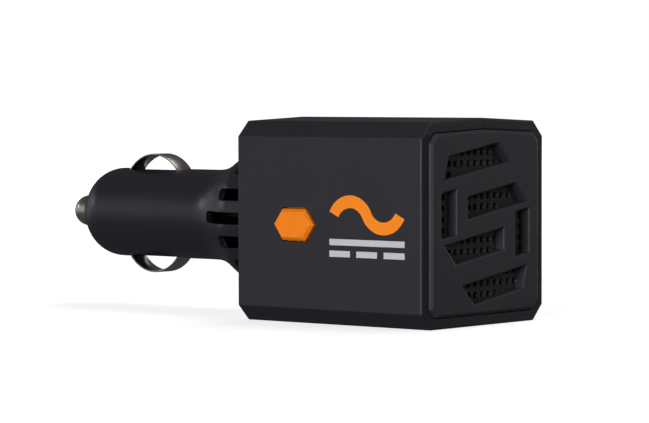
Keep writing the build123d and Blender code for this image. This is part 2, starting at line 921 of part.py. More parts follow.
choke_axis = Axis((choke_middle[0], 0, choke_middle[1]), (0, 1, 0))
with BuildPart() as choke_winding:
    with BuildSketch(Plane.XY.offset(choke_middle[1])):
        with Locations((choke_middle[0] + (core_outer + choke_bore) / 2,
                        board_back + choke_wire + choke_height / 2)):
            Rectangle(core_outer - choke_bore + 2 * choke_wire, choke_height + 2 * choke_wire)
            Rectangle(core_outer - choke_bore, choke_height, mode=Mode.SUBTRACT)
    revolve(axis=choke_axis, revolution_arc=choke_turn)
choke_winding.part.label = "choke_winding"

mosfet_middle = on_board(mosfet_from_middle)
with BuildPart() as mosfets:
    with BuildSketch(facing_front(board_back)):
        with Locations(mosfet_middle):
            with GridLocations(0, mosfet_pitch, 1, 2):
                Rectangle(mosfet_size[0], mosfet_size[2])
    extrude(amount=-mosfet_size[1])
mosfets.part.label = "mosfets"

sink_y = board_back + mosfet_size[1]
with BuildPart() as heat_sink:
    with BuildSketch(Plane.XY.offset(mosfet_middle[1] - sink_length / 2)):
        with Locations((mosfet_middle[0], sink_y + sink_base / 2)):
            Rectangle(mosfet_size[0], sink_base)
        with Locations((mosfet_middle[0], sink_y + sink_depth / 2)):
            fin_pitch = (mosfet_size[0] - sink_fin_thickness) / (sink_fins - 1)
            with GridLocations(fin_pitch, 0, sink_fins, 1):
                Rectangle(sink_fin_thickness, sink_depth)
    extrude(amount=sink_length)
heat_sink.part.label = "heat_sink"

film_z = mosfet_middle[1] + sink_length / 2 + fit_gap + film_cap_size[2] / 2
with BuildPart() as film_capacitor:
    with BuildSketch(facing_front(board_back)):
        with Locations((mosfet_middle[0] - stand_off_inset, film_z)):
            Rectangle(film_cap_size[0] - 2 * stand_off_inset, film_cap_size[2])
    extrude(amount=-film_cap_size[1])
film_capacitor.part.label = "film_capacitor"

with BuildPart() as driver_chips:
    with BuildSketch(facing_front(board_front)):
        with Locations(middle):
            with GridLocations(board_length / 2, board_height / 2, 2, 2):
                Rectangle(chip_size[0], chip_size[2])
    extrude(amount=chip_size[1])
driver_chips.part.label = "driver_chips"

# ------------------------------------------------------------------ fan
hub_depth = fan_depth - spoke_thickness - 2 * motor_gap
hub_back = fan_back + spoke_thickness + motor_gap
blade_radius = fan_bore_radius - blade_tip_gap
magnet_outer = fan_hub_radius - fan_hub_wall
coil_outer = magnet_outer - magnet_thickness - motor_gap
bearing_length = hub_depth - fan_hub_wall - motor_gap

with BuildPart() as fan_frame:
    with BuildSketch(across(fan_back)):
        with Locations((0, axis_z)):
            RectangleRounded(fan_size, fan_size, fan_corner)
            Circle(fan_bore_radius, mode=Mode.SUBTRACT)
            with GridLocations(fan_size - 2 * fan_corner, fan_size - 2 * fan_corner, 2, 2):
                Circle(fan_corner / 2, mode=Mode.SUBTRACT)
    extrude(amount=fan_depth)
    with BuildSketch(across(fan_back)):
        with Locations((0, axis_z)):
            Circle(fan_hub_radius)
            with PolarLocations(fan_bore_radius / 2, fan_spokes, start_angle=180 / fan_spokes):
                Rectangle(fan_bore_radius + cut_past, spoke_width)
            Circle(bearing_radius, mode=Mode.SUBTRACT)
    extrude(amount=spoke_thickness)
fan_frame.part.label = "fan_frame"

with BuildPart() as fan_bearing:
    with BuildSketch(across(fan_back)):
        ring_of(bearing_radius, shaft_radius + shaft_run_fit)
    extrude(amount=spoke_thickness + motor_gap + bearing_length)
fan_bearing.part.label = "fan_bearing"

with BuildPart() as fan_coils:
    with BuildSketch(across(hub_back)):
        ring_of(coil_outer / 2 + bearing_radius / 2, bearing_radius)
        with Locations((0, axis_z)):
            with PolarLocations(coil_outer * coil_pole_place, coil_poles):
                Rectangle(coil_outer * coil_pole_length, coil_outer * coil_pole_width)
            Circle(bearing_radius, mode=Mode.SUBTRACT)
    extrude(amount=bearing_length - motor_gap)
    with BuildSketch(across(hub_back)):
        disc(coil_outer)
    extrude(amount=bearing_length - motor_gap, mode=Mode.INTERSECT)
fan_coils.part.label = "fan_coils"

blade_planes = [
    Plane(origin=(hub_back + hub_depth / 2, 0, axis_z), x_dir=(1, 0, 0),
          z_dir=(0, sin(radians(turn)), cos(radians(turn))))
    for turn in [360 / fan_blades * step for step in range(fan_blades)]
]
with BuildPart() as fan_rotor:
    with BuildSketch(*[plane.offset(magnet_outer) for plane in blade_planes]):
        Rectangle(blade_chord, blade_thickness, rotation=blade_pitch)
    extrude(amount=fan_bore_radius - magnet_outer)
    with BuildSketch(across(hub_back)):
        disc(fan_hub_radius)
    extrude(amount=hub_depth)
    with BuildSketch(across(hub_back)):
        disc(blade_radius)
    extrude(amount=hub_depth, mode=Mode.INTERSECT)
    with BuildSketch(across(hub_back)):
        disc(magnet_outer)
    extrude(amount=hub_depth - fan_hub_wall, mode=Mode.SUBTRACT)
fan_rotor.part.label = "fan_rotor"

with BuildPart() as fan_magnet:
    with BuildSketch(across(hub_back)):
        ring_of(magnet_outer, magnet_outer - magnet_thickness)
    extrude(amount=hub_depth - fan_hub_wall)
fan_magnet.part.label = "fan_magnet"

with BuildPart() as fan_shaft:
    with BuildSketch(across(fan_back)):
        disc(shaft_radius)
    extrude(amount=hub_back + hub_depth - fan_hub_wall - fan_back)
fan_shaft.part.label = "fan_shaft"

# ------------------------------------------------------------------ mains outlet
chambers = [
    (blade_xs[0], blade_z, line_slot_height),
    (blade_xs[1], blade_z, neutral_slot_height),
]
clip_width = clip_opening + 2 * clip_leaf
chamber_length = chamber_front - chamber_back
tail_end = outlet_back - clip_tail[2]

with BuildPart() as outlet_insert:
    with BuildSketch(facing_front(outlet_face)):
        with Locations((outlet_x, axis_z)):
            RectangleRounded(outlet_width, outlet_height, outlet_corner)
    extrude(amount=outlet_depth)
    fillet(outlet_insert.faces().sort_by(Axis.Y)[-1].edges(), outlet_proud / 2)
    with BuildSketch(facing_front(back_inner)):
        with Locations((outlet_x, axis_z)):
            RectangleRounded(
                outlet_width + 2 * outlet_flange, outlet_height + 2 * outlet_flange, outlet_corner
            )
    extrude(amount=outlet_flange_thickness)
    # slots and the earth hole through the face
    with BuildSketch(facing_front(outlet_face)):
        for x, z, height in chambers:
            with Locations((x, z)):
                Rectangle(blade_slot_width, height)
        with Locations((outlet_x, ground_z)):
            Circle(ground_radius)
    extrude(amount=face_thickness, mode=Mode.SUBTRACT)
    # chambers that hold the clips, with holes for their tails
    with BuildSketch(facing_front(chamber_front)):
        for x, z, height in chambers:
            with Locations((x, z)):
                Rectangle(clip_width + 2 * chamber_gap, height + 2 * chamber_gap)
        with Locations((outlet_x, ground_z)):
            Circle(ground_radius + clip_leaf + chamber_gap)
    extrude(amount=chamber_length, mode=Mode.SUBTRACT)
    with BuildSketch(facing_front(chamber_back)):
        with Locations(*[(x, z) for x, z, height in chambers], (outlet_x, ground_z)):
            Rectangle(clip_tail[0], clip_tail[1])
    extrude(amount=back_thickness, mode=Mode.SUBTRACT)
outlet_insert.part.label = "outlet_insert"


def blade_clip(x, z):
    """Brass clip: two leaves that grip a flat blade, a base and a solder tail."""
    with BuildPart() as clip:
        with BuildSketch(facing_front(chamber_front - chamber_gap)):
            with Locations((x, z)):
                Rectangle(clip_width, clip_height)
        extrude(amount=chamber_length - chamber_gap)
        with BuildSketch(facing_front(chamber_front - chamber_gap)):
            with Locations((x, z)):
                Rectangle(clip_opening, clip_height)
        extrude(amount=chamber_length - chamber_gap - clip_leaf, mode=Mode.SUBTRACT)
        with BuildSketch(facing_front(chamber_back)):
            with Locations((x, z)):
                Rectangle(clip_tail[0], clip_tail[1])
        extrude(amount=back_thickness + clip_tail[2])
    return clip.part


with BuildPart() as line_contact:
    add(blade_clip(blade_xs[0], blade_z))
line_contact.part.label = "line_contact"

with BuildPart() as neutral_contact:
    add(blade_clip(blade_xs[1], blade_z))
neutral_contact.part.label = "neutral_contact"

with BuildPart() as ground_contact:
    with BuildSketch(facing_front(chamber_front - chamber_gap)):
        with Locations((outlet_x, ground_z)):
            Circle(ground_radius + clip_leaf)
            Circle(ground_radius, mode=Mode.SUBTRACT)
            Rectangle(clip_leaf, body_height, mode=Mode.SUBTRACT)
    extrude(amount=chamber_length - chamber_gap)
    with BuildSketch(facing_front(chamber_back + clip_leaf)):
        with Locations((outlet_x, ground_z)):
            Circle(ground_radius + clip_leaf)
    extrude(amount=clip_leaf)
    with BuildSketch(facing_front(chamber_back)):
        with Locations((outlet_x, ground_z)):
            Rectangle(clip_tail[0], clip_tail[1])
    extrude(amount=back_thickness + clip_tail[2])
ground_contact.part.label = "ground_contact"

# ------------------------------------------------------------------ USB socket
with BuildPart() as usb_shell:
    with BuildSketch(facing_front(usb_face)):
        with Locations((usb_x, axis_z)):
            RectangleRounded(usb_width, usb_height, usb_metal)
            Rectangle(usb_width - 2 * usb_metal, usb_height - 2 * usb_metal, mode=Mode.SUBTRACT)
    extrude(amount=usb_depth)
usb_shell.part.label = "usb_shell"

tongue_front = usb_face - tongue_setback
tongue_root = usb_back + tongue_root_length
with BuildPart() as usb_tongue:
    with BuildSketch(facing_front(tongue_root)):
        with Locations((usb_x, axis_z)):
            Rectangle(usb_width - 2 * usb_metal, usb_height - 2 * usb_metal)
    extrude(amount=tongue_root - usb_back)
    with BuildSketch(facing_front(tongue_front)):
        with Locations((usb_x + tongue_offset, axis_z)):
            Rectangle(tongue_width, usb_height - 2 * usb_metal - tongue_root_length)
    extrude(amount=tongue_front - tongue_root)
usb_tongue.part.label = "usb_tongue"

with BuildPart() as usb_pins:
    with BuildSketch(facing_front(tongue_root + usb_pin_size[1])):
        for z in usb_pin_places:
            with Locations((usb_x + tongue_offset - tongue_width / 2 - usb_pin_size[0] / 2, axis_z + z)):
                Rectangle(usb_pin_size[0], usb_pin_size[2])
    extrude(amount=usb_pin_size[1])
usb_pins.part.label = "usb_pins"

with BuildPart() as usb_board:
    with BuildSketch(facing_front(usb_back)):
        with Locations((usb_x, axis_z)):
            Rectangle(usb_board_size[0], usb_board_size[2])
    extrude(amount=usb_board_size[1])
usb_board.part.label = "usb_board"

# ------------------------------------------------------------------ leads inside the case
lead_channel_z = (core_middle[1] - core_height / 2 + on_board(cap_from_middle)[1] + cap_radius) / 2


def lead(points):
    """Round wire along straight runs with rounded corners."""
    with BuildPart() as wire:
        with BuildLine() as path:
            FilletPolyline(*points, radius=wire_bend)
        with BuildSketch(Plane(origin=path.line @ 0, z_dir=path.line % 0)):
            Circle(wire_radius)
        sweep(path=path.line)
    return wire.part


lead_x = board_x - board_length / 2 + 2 * wire_radius
with BuildPart() as input_lead:
    add(lead([
        (along(bulkhead_start), 0, axis_z),
        (lead_x, 0, axis_z),
        (lead_x, 0, lead_channel_z),
        (lead_x, board_back, lead_channel_z),
    ]))
input_lead.part.label = "input_lead"

output_lead_y = tail_end - wire_radius
with BuildPart() as output_leads:
    for blade_x in blade_xs:
        add(lead([
            (blade_x, board_back, lead_channel_z),
            (blade_x, output_lead_y, lead_channel_z),
            (blade_x, output_lead_y, blade_z),
        ]))
output_leads.part.label = "output_leads"

pieces = [
    front_shell, rear_shell, case_screws, badge_wave, badge_bars, power_button, switch_body,
    switch_plunger, grille_panel, perforated_screen, contact_top, contact_bottom, nose_ring,
    tip_contact, fuse_tube, fuse_caps, fuse_wire, pin_spring, spring_seat, main_board,
    transformer_core, transformer_winding, input_capacitors, choke_core, choke_winding, mosfets,
    heat_sink, film_capacitor, driver_chips, fan_frame, fan_bearing, fan_coils, fan_rotor,
    fan_magnet, fan_shaft, outlet_insert, line_contact, neutral_contact, ground_contact, usb_shell,
    usb_tongue, usb_pins, usb_board, input_lead, output_leads,
]
os.makedirs("parts", exist_ok=True)
for piece in pieces:
    export_step(piece.part, f"parts/{piece.part.label}.step")
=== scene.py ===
# %% [markdown]
# A plug-in power inverter: a moulded black block that turns the 12 volts of a vehicle into mains
# voltage.  Its plug goes into the vehicle's socket, a fan behind the grille cools it, and the
# outlets are on its back.
#
# The measured CAD model is loaded first and stays fixed.  Everything made below is placed from its
# boxes, in metres: X along the plug, Z up, the button facing -Y, the grille facing +X.

# %% The measured model
import json
from math import atan2, cos, pi, radians, sin

import bmesh
import bpy
from mathutils import Matrix, Vector

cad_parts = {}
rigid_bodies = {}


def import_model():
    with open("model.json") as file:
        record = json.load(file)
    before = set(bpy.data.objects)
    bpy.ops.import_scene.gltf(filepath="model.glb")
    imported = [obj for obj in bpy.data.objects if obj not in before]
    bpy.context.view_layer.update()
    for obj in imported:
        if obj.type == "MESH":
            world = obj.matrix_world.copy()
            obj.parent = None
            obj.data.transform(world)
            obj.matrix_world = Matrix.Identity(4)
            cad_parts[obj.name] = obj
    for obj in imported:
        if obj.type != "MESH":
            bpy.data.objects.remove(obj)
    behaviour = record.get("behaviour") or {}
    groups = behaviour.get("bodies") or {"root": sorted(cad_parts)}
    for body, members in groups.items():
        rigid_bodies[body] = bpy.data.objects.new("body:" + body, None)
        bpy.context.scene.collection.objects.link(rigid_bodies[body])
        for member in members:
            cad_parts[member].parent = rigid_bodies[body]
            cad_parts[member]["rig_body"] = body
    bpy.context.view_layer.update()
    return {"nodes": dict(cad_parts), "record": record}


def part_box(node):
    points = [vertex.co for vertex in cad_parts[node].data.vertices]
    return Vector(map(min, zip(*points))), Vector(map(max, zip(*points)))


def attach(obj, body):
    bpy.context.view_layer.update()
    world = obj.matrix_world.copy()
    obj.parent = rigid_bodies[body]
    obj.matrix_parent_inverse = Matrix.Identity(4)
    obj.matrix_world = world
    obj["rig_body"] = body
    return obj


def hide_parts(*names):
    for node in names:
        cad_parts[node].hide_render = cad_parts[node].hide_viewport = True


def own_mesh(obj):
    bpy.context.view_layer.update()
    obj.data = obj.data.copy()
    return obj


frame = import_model()
nodes = frame["nodes"]
mm = 0.001

# %% [markdown]
# Sizes are read off the CAD nodes, so that a piece follows the node that it dresses.  A node's box
# gives its lowest and highest corner; its middle and its size follow from them.


# %% Reading a node's box
def middle_of(node):
    low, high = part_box(node)
    return (low + high) / 2


def size_of(node):
    low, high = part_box(node)
    return high - low


barrel_axis = middle_of("tip_contact")
plug_end = -0.0255  # the housing's end wall, where the plug begins
print("plug axis at height", round(barrel_axis.z / mm, 2), "mm")

# %% [markdown]
# Both shader trees and Geometry Nodes trees are wired the same way: make a node, set what it does,
# then give its sockets values or links.  One small class does that for either kind of tree.  A Wire
# is one socket's value; the usual arithmetic signs between Wires, or a Wire and a number, add Math
# nodes, so that a finish reads like the sum it is.


# %% One method that makes any node
class Graph:
    """A node tree under construction."""

    def __init__(self, tree):
        self.tree = tree

    def node(self, kind, settings=None, inputs=None, output=0):
        made = self.tree.nodes.new(kind)
        for name, value in (settings or {}).items():
            setattr(made, name, value)
        for name, value in (inputs or {}).items():
            self.give(made.inputs[name], value)
        return Wire(self, made.outputs[output])

    def give(self, socket, value):
        if isinstance(value, Wire):
            self.tree.links.new(value.socket, socket)
        else:
            socket.default_value = value

    def sum(self, operation, first, second=0.0):
        return self.node("ShaderNodeMath", {"operation": operation}, {0: first, 1: second})


# %% A socket that can be reckoned with
class Wire:
    """One output socket."""

    def __init__(self, graph, socket):
        self.graph = graph
        self.socket = socket

    def __add__(self, other):
        return self.graph.sum("ADD", self, other)

    def __sub__(self, other):
        return self.graph.sum("SUBTRACT", self, other)

    def __rsub__(self, other):
        return self.graph.sum("SUBTRACT", other, self)

    def __mul__(self, other):
        return self.graph.sum("MULTIPLY", self, other)

    def __truediv__(self, other):
        return self.graph.sum("DIVIDE", self, other)

    def __gt__(self, other):
        return self.graph.sum("GREATER_THAN", self, other)

    def __abs__(self):
        return self.graph.sum("ABSOLUTE", self)

    def clipped(self):
        """The same value, held between 0 and 1."""
        return self.graph.node("ShaderNodeClamp", None, {0: self})

    __radd__ = __add__
    __rmul__ = __mul__


print("graph and wire ready")

# %% [markdown]
# A finish is one material.  Object coordinates are metres here, so a noise of scale 5000 has grains
# a fifth of a millimetre across.  Real mouldings are never one flat colour: the tool's eroded
# texture scatters the light, handling polishes patches of it, and dust greys the colour a little.


# %% A finish to paint pieces with
def screen_colour(red, green, blue):
    """A colour given as it looks on a screen, 0 to 255, as the shader needs it."""

    def light(value):
        share = value / 255
        return share / 12.92 if share <= 0.04045 else ((share + 0.055) / 1.055) ** 2.4

    return (light(red), light(green), light(blue), 1.0)


class Finish(Graph):
    """A material built round one Principled shader."""

    def __init__(self, name, **sockets):
        self.material = bpy.data.materials.new(name)
        self.material.use_nodes = True
        super().__init__(self.material.node_tree)
        self.shader = self.tree.nodes["Principled BSDF"]
        self.place = self.node("ShaderNodeTexCoord", output="Object")
        self.set(**sockets)

    def set(self, **sockets):
        """Socket names with underscores for spaces: Base_Color, Roughness, Metallic."""
        for name, value in sockets.items():
            self.give(self.shader.inputs[name.replace("_", " ")], value)
        return self

    def along(self, axis):
        """Distance along one axis of the model, in metres."""
        return self.node("ShaderNodeSeparateXYZ", None, {0: self.place}, output=axis)

    def noise(self, scale, detail=2.0, stretch=None):
        """Soft noise from 0 to 1; stretch draws its grains out along the axes."""
        place = self.place
        if stretch:
            drawn = {0: place, 1: stretch}
            place = self.node("ShaderNodeVectorMath", {"operation": "MULTIPLY"}, drawn)
        wanted = {"Vector": place, "Scale": scale, "Detail": detail}
        return self.node("ShaderNodeTexNoise", None, wanted)

    def colours(self, share, first, second):
        """The first colour where share is 0, the second where it is 1."""
        return self.node(
            "ShaderNodeMix", {"data_type": "RGBA"}, {0: share, 6: first, 7: second}, output=2
        )

    def relief(self, height, depth):
        """A bump from a height of 0 to 1, that many metres deep."""
        wanted = {"Height": height, "Distance": depth, "Strength": 1.0}
        self.set(Normal=self.node("ShaderNodeBump", None, wanted))
        return self


print("finish ready")

# %% [markdown]
# The housing's plastic has the fine matt texture that spark erosion leaves in a mould.  The plug is
# the same plastic from a smoother part of the tool, so it has a satin gloss: one finish does both
# and changes over at the housing's end wall.


# %% Black moulded plastic
def moulded(name, tone, rough, grain=5200.0, depth=0.012 * mm, dusty=0.25):
    """Textured plastic: grain in its relief, cloudy patches in its colour and its gloss."""
    finish = Finish(name, Specular_IOR_Level=0.42)
    tone = screen_colour(*tone)
    clouds = finish.noise(70.0, 4.0)
    fine = finish.noise(grain, 3.0)
    dust = tuple(min(1.0, value * (1 + dusty) + 0.002) for value in tone[:3]) + (1.0,)
    colour = finish.colours((clouds * 0.75 + fine * 0.5 - 0.1).clipped(), tone, dust)
    finish.set(Base_Color=colour, Roughness=rough - 0.05 + clouds * 0.1)
    return finish.relief(fine, depth)


def case_plastic():
    finish = moulded("black_case_plastic", (28, 27, 34), 0.5)
    on_plug = ((plug_end - 0.3 * mm - finish.along("X")) / (0.3 * mm)).clipped()
    patches = finish.noise(110.0, 3.0)
    fine = finish.noise(5200.0, 3.0)
    rough = 0.47 + patches * 0.08 - on_plug * 0.17
    finish.set(Roughness=rough)
    return finish.relief(fine * (1.0 - on_plug * 0.85), 0.014 * mm)


case_black = case_plastic()
panel_black = moulded("black_panel_plastic", (43, 42, 48), 0.46, grain=4600.0)
screen_black = moulded("black_screen_plastic", (38, 37, 40), 0.45, grain=6000.0)
insert_black = moulded("black_insert_plastic", (24, 24, 26), 0.34, depth=0.005 * mm)
fan_black = moulded("black_fan_plastic", (22, 22, 23), 0.5)
print("plastics", case_black.material.name, panel_black.material.name)

# %% [markdown]
# The button is a separate moulding in orange, and the badge is printed and pressed into shallow
# pockets.  Orange plastic lets light in a little way, which a small amount of subsurface scattering
# would show; at this size two close, warm shades give the same look and bake better.


# %% Orange and grey
def coloured(name, low, high, rough, grain, depth):
    """A bright plastic or ink: two close shades, mottled."""
    finish = Finish(name, Specular_IOR_Level=0.4)
    mottle = finish.noise(420.0, 4.0)
    fine = finish.noise(grain, 2.0)
    finish.set(
        Base_Color=finish.colours(
            (mottle * 0.8 + fine * 0.3).clipped(), screen_colour(*low), screen_colour(*high)
        ),
        Roughness=rough + fine * 0.1,
    )
    return finish.relief(fine, depth)


button_fine, ink_fine = 5000.0, 7000.0
button_orange = coloured(
    "orange_button_plastic", (240, 118, 2), (251, 137, 6), 0.4, button_fine, 0.006 * mm
)
badge_orange = coloured(
    "orange_badge_ink", (244, 128, 6), (253, 144, 14), 0.45, ink_fine, 0.004 * mm
)
badge_grey = coloured(
    "grey_badge_ink", (186, 187, 188), (202, 203, 205), 0.45, ink_fine, 0.004 * mm
)
print("colours", button_orange.material.name, badge_orange.material.name, badge_grey.material.name)

# %% [markdown]
# Metals differ in colour and in the marks of how they were made: strip is rolled, so it has fine
# lines along it; a turned pin has rings round it; screws are blackened; brass is stamped.  Each
# gets fine drawn-out noise in that direction, in its roughness and its relief.


# %% Metals
def metal(name, dull, bright, rough, stretch, lines=900.0, depth=0.002 * mm, wear=0.2):
    """Plated or bare metal with marks drawn out along an axis."""
    finish = Finish(name, Metallic=1.0)
    marks = finish.noise(lines, 3.0, stretch)
    stains = finish.noise(240.0, 4.0)
    finish.set(
        Base_Color=finish.colours(
            (stains * 0.9 + marks * 0.3).clipped(), screen_colour(*dull), screen_colour(*bright)
        ),
        Roughness=rough + marks * wear * 0.6 + stains * wear * 0.4 - wear * 0.25,
    )
    return finish.relief(marks, depth)


along_x = (0.08, 1.0, 1.0)
along_y = (1.0, 0.08, 1.0)
along_z = (1.0, 1.0, 0.05)
round_x = (3.0, 0.3, 0.3)
nickel = metal("nickel_plate", (150, 142, 138), (205, 198, 192), 0.24, along_x)
turned_nickel = metal("turned_nickel", (150, 142, 136), (210, 200, 190), 0.3, round_x)
spring_steel = metal("drawn_spring_steel", (120, 120, 122), (170, 170, 174), 0.3, None)
screw_steel = metal("blackened_screw_steel", (52, 50, 50), (92, 90, 90), 0.38, None)
usb_steel = metal("stamped_socket_steel", (160, 160, 162), (205, 206, 208), 0.25, along_y)
brass = metal("stamped_brass", (170, 132, 60), (226, 190, 108), 0.3, along_y)
aluminium = metal("extruded_aluminium", (170, 172, 176), (214, 216, 220), 0.35, along_z)
fuse_metal = metal("tinned_fuse_wire", (150, 150, 150), (200, 200, 200), 0.3, along_x)
print("metals ready")

# %% [markdown]
# Inside are parts that show through the slots and whenever someone opens the case: a green board
# with tracks, ferrite cores, enamelled copper, sleeved capacitors, moulded chips and vinyl leads.


# %% Inside finishes
def board_green():
    """Solder mask over tracks: straight copper runs show as lighter, raised green."""
    finish = Finish("solder_mask_green", Specular_IOR_Level=0.5)
    slant = finish.along("X") + finish.along("Z") * 0.4
    runs = abs(finish.sum("SINE", slant * 2600.0)) > 0.8
    cut = finish.noise(260.0, 1.0) > 0.5
    track = runs * cut
    finish.set(
        Base_Color=finish.colours(track, screen_colour(14, 74, 40), screen_colour(40, 122, 66)),
        Roughness=0.32 + finish.noise(500.0) * 0.1,
    )
    return finish.relief(track, 0.03 * mm)


def windings(name, low, high):
    """Enamelled wire: glossy, each turn a slightly different copper."""
    finish = Finish(name, Metallic=0.75)
    shade = finish.noise(1500.0, 2.0)
    tones = finish.colours(shade, screen_colour(*low), screen_colour(*high))
    finish.set(Base_Color=tones, Roughness=0.25 + shade * 0.15)
    return finish.relief(finish.noise(4000.0), 0.003 * mm)


def clear_glass():
    """The fuse's tube."""
    finish = Finish("fuse_glass", Transmission_Weight=1.0, IOR=1.47)
    streaks = finish.noise(600.0, 2.0, along_x)
    finish.set(Base_Color=finish.colours(streaks, (0.9, 0.95, 0.94, 1), (0.97, 1, 0.99, 1)))
    return finish.set(Roughness=0.03 + streaks * 0.04)


board_mask = board_green()
copper = windings("enamelled_copper", (150, 72, 34), (206, 118, 66))
glass = clear_glass()
ferrite = moulded(
    "sintered_ferrite", (54, 54, 58), 0.6, grain=3000.0, depth=0.03 * mm, dusty=0.6
)
component = moulded("black_epoxy", (28, 28, 30), 0.4, grain=3500.0)
film_yellow = coloured(
    "dipped_yellow_film", (198, 152, 30), (222, 178, 52), 0.25, 2500.0, 0.01 * mm
)
tongue_white = coloured(
    "white_socket_plastic", (206, 206, 204), (226, 226, 224), 0.4, 4000.0, 0.004 * mm
)
lead_black = coloured(
    "black_lead_vinyl", (26, 24, 25), (38, 36, 37), 0.42, 3000.0, 0.01 * mm
)
lead_white = coloured(
    "white_vinyl", (196, 196, 192), (220, 220, 216), 0.42, 3000.0, 0.01 * mm
)
print("inside finishes ready")

# %% [markdown]
# Each record slot has one finish, and every CAD node takes the finish of its slot.  A node that is
# shown as it is keeps its mesh; only its material slots change.  The pieces made further down use
# the same table.

# %% Which finish goes on which slot
finish_of_slot = {
    "black_case": case_black,
    "black_panel": panel_black,
    "orange_button": button_orange,
    "orange_ink": badge_orange,
    "grey_ink": badge_grey,
    "black_insert": insert_black,
    "black_fan": fan_black,
    "nickel": nickel,
    "spring_steel": spring_steel,
    "screw_steel": screw_steel,
    "usb_steel": usb_steel,
    "brass": brass,
    "fuse_glass": glass,
    "fuse_metal": fuse_metal,
    "green_board": board_mask,
    "ferrite": ferrite,
    "copper_wire": copper,
    "black_component": component,
    "yellow_film": film_yellow,
    "aluminium_sink": aluminium,
    "white_tongue": tongue_white,
    "black_lead": lead_black,
    "white_lead": lead_white,
}
slot_of_node = {part["node"]: part["material_slot"] for part in frame["record"]["subparts"]}
finish_of_node = {node: finish_of_slot[slot] for node, slot in slot_of_node.items()}
finish_of_node["perforated_screen"] = screen_black
finish_of_node["tip_contact"] = turned_nickel


def dress(thing, finish):
    """Gives every material slot of an object one finish."""
    if not thing.data.materials:
        thing.data.materials.append(finish.material)
    for index in range(len(thing.data.materials)):
        thing.data.materials[index] = finish.material


for node, thing in nodes.items():
    dress(thing, finish_of_node[node])
print("dressed", len(nodes), "nodes in", len(finish_of_slot), "finishes")

# %% [markdown]
# A mould can't make a knife-sharp edge, and a real edge catches a thin line of light.  The outside
# pieces are therefore copies of their CAD nodes with every sharp edge rounded a little.  The copy's
# loose triangles are merged, flat areas are joined into whole faces, the sharp edges are bevelled,
# and the rest is shaded smooth so that the barrel looks round.


# %% Softening a node's edges
def finished(mesh_data, name, node, finish, *stands_for):
    """Puts a plain mesh in the scene as a piece that rides with its node's body."""
    piece = bpy.data.objects.new(name, mesh_data)
    bpy.context.scene.collection.objects.link(piece)
    dress(piece, finish)
    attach(piece, nodes[node]["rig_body"])
    if stands_for:
        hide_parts(*stands_for)
    return piece


def evened(work, name):
    """The bmesh as a mesh whose shading follows its large faces, so that flats look flat."""
    rough = bpy.data.meshes.new(name)
    work.to_mesh(rough)
    work.free()
    host = bpy.data.objects.new(name, rough)
    bpy.context.scene.collection.objects.link(host)
    weighted = host.modifiers.new("even", "WEIGHTED_NORMAL")
    weighted.keep_sharp = True
    weighted.weight = 100
    return settled(host, name)


def settled(host, name):
    """What an object's modifiers make, as a plain mesh; the object itself is removed."""
    bpy.context.view_layer.update()
    made = host.evaluated_get(bpy.context.evaluated_depsgraph_get())
    mesh = bpy.data.meshes.new_from_object(made)
    mesh.name = name
    bpy.data.objects.remove(host)
    return mesh


def softened(node, name, width, turn=24.0):
    """A copy of a node with its sharp edges rounded by this width."""
    work = bmesh.new()
    work.from_mesh(nodes[node].data)
    bmesh.ops.remove_doubles(work, verts=work.verts, dist=1e-7)
    bmesh.ops.dissolve_limit(
        work, angle_limit=radians(0.5), verts=work.verts[:], edges=work.edges[:]
    )
    sharp = [edge for edge in work.edges if edge.calc_face_angle(0) > radians(turn)]
    bmesh.ops.bevel(
        work, geom=sharp, offset=width, segments=2, profile=0.5, affect="EDGES", clamp_overlap=False
    )
    bmesh.ops.remove_doubles(work, verts=work.verts, dist=1e-7)
    bmesh.ops.triangulate(work, faces=[face for face in work.faces if len(face.verts) > 4])
    for face in work.faces:
        face.smooth = True
    for edge in work.edges:
        edge.smooth = edge.calc_face_angle(0) < radians(turn)
    open_edges = sum(1 for edge in work.edges if not edge.is_manifold)
    mesh = evened(work, name)
    print(name, len(mesh.polygons), "faces,", open_edges, "open edges")
    return finished(mesh, name, node, finish_of_node[node], node)


# %% [markdown]
# The two halves of the housing carry the whole outside: block, neck with its air slots, barrel and
# nose.  The seam where they meet runs along the top and the bottom.

# %% Housing halves
front_moulding = softened("front_shell", "front_moulding", 0.09 * mm)
rear_moulding = softened("rear_shell", "rear_moulding", 0.09 * mm)

# %% [markdown]
# The grille's panel, the button, the outlet and the USB socket are separate mouldings or stamped
# parts.  Each gets the same small rounding, scaled to its size.

# %% Other outside pieces
softened("grille_panel", "grille_front", 0.08 * mm)
softened("power_button", "button_cap", 0.14 * mm)
softened("outlet_insert", "outlet_face", 0.08 * mm)
softened("usb_shell", "usb_can", 0.07 * mm)
softened("usb_tongue", "usb_plastic", 0.06 * mm)

# %% [markdown]
# Some pieces repeat one shape or follow a line: the sprung side contacts, the screws, the fan's
# blades, the fins of the heat sink, the lips of the air holes.  Geometry Nodes make those.  Each
# tree has named sizes, so the same tree can serve another piece, and it ends by making its
# instances real and giving them their finish.


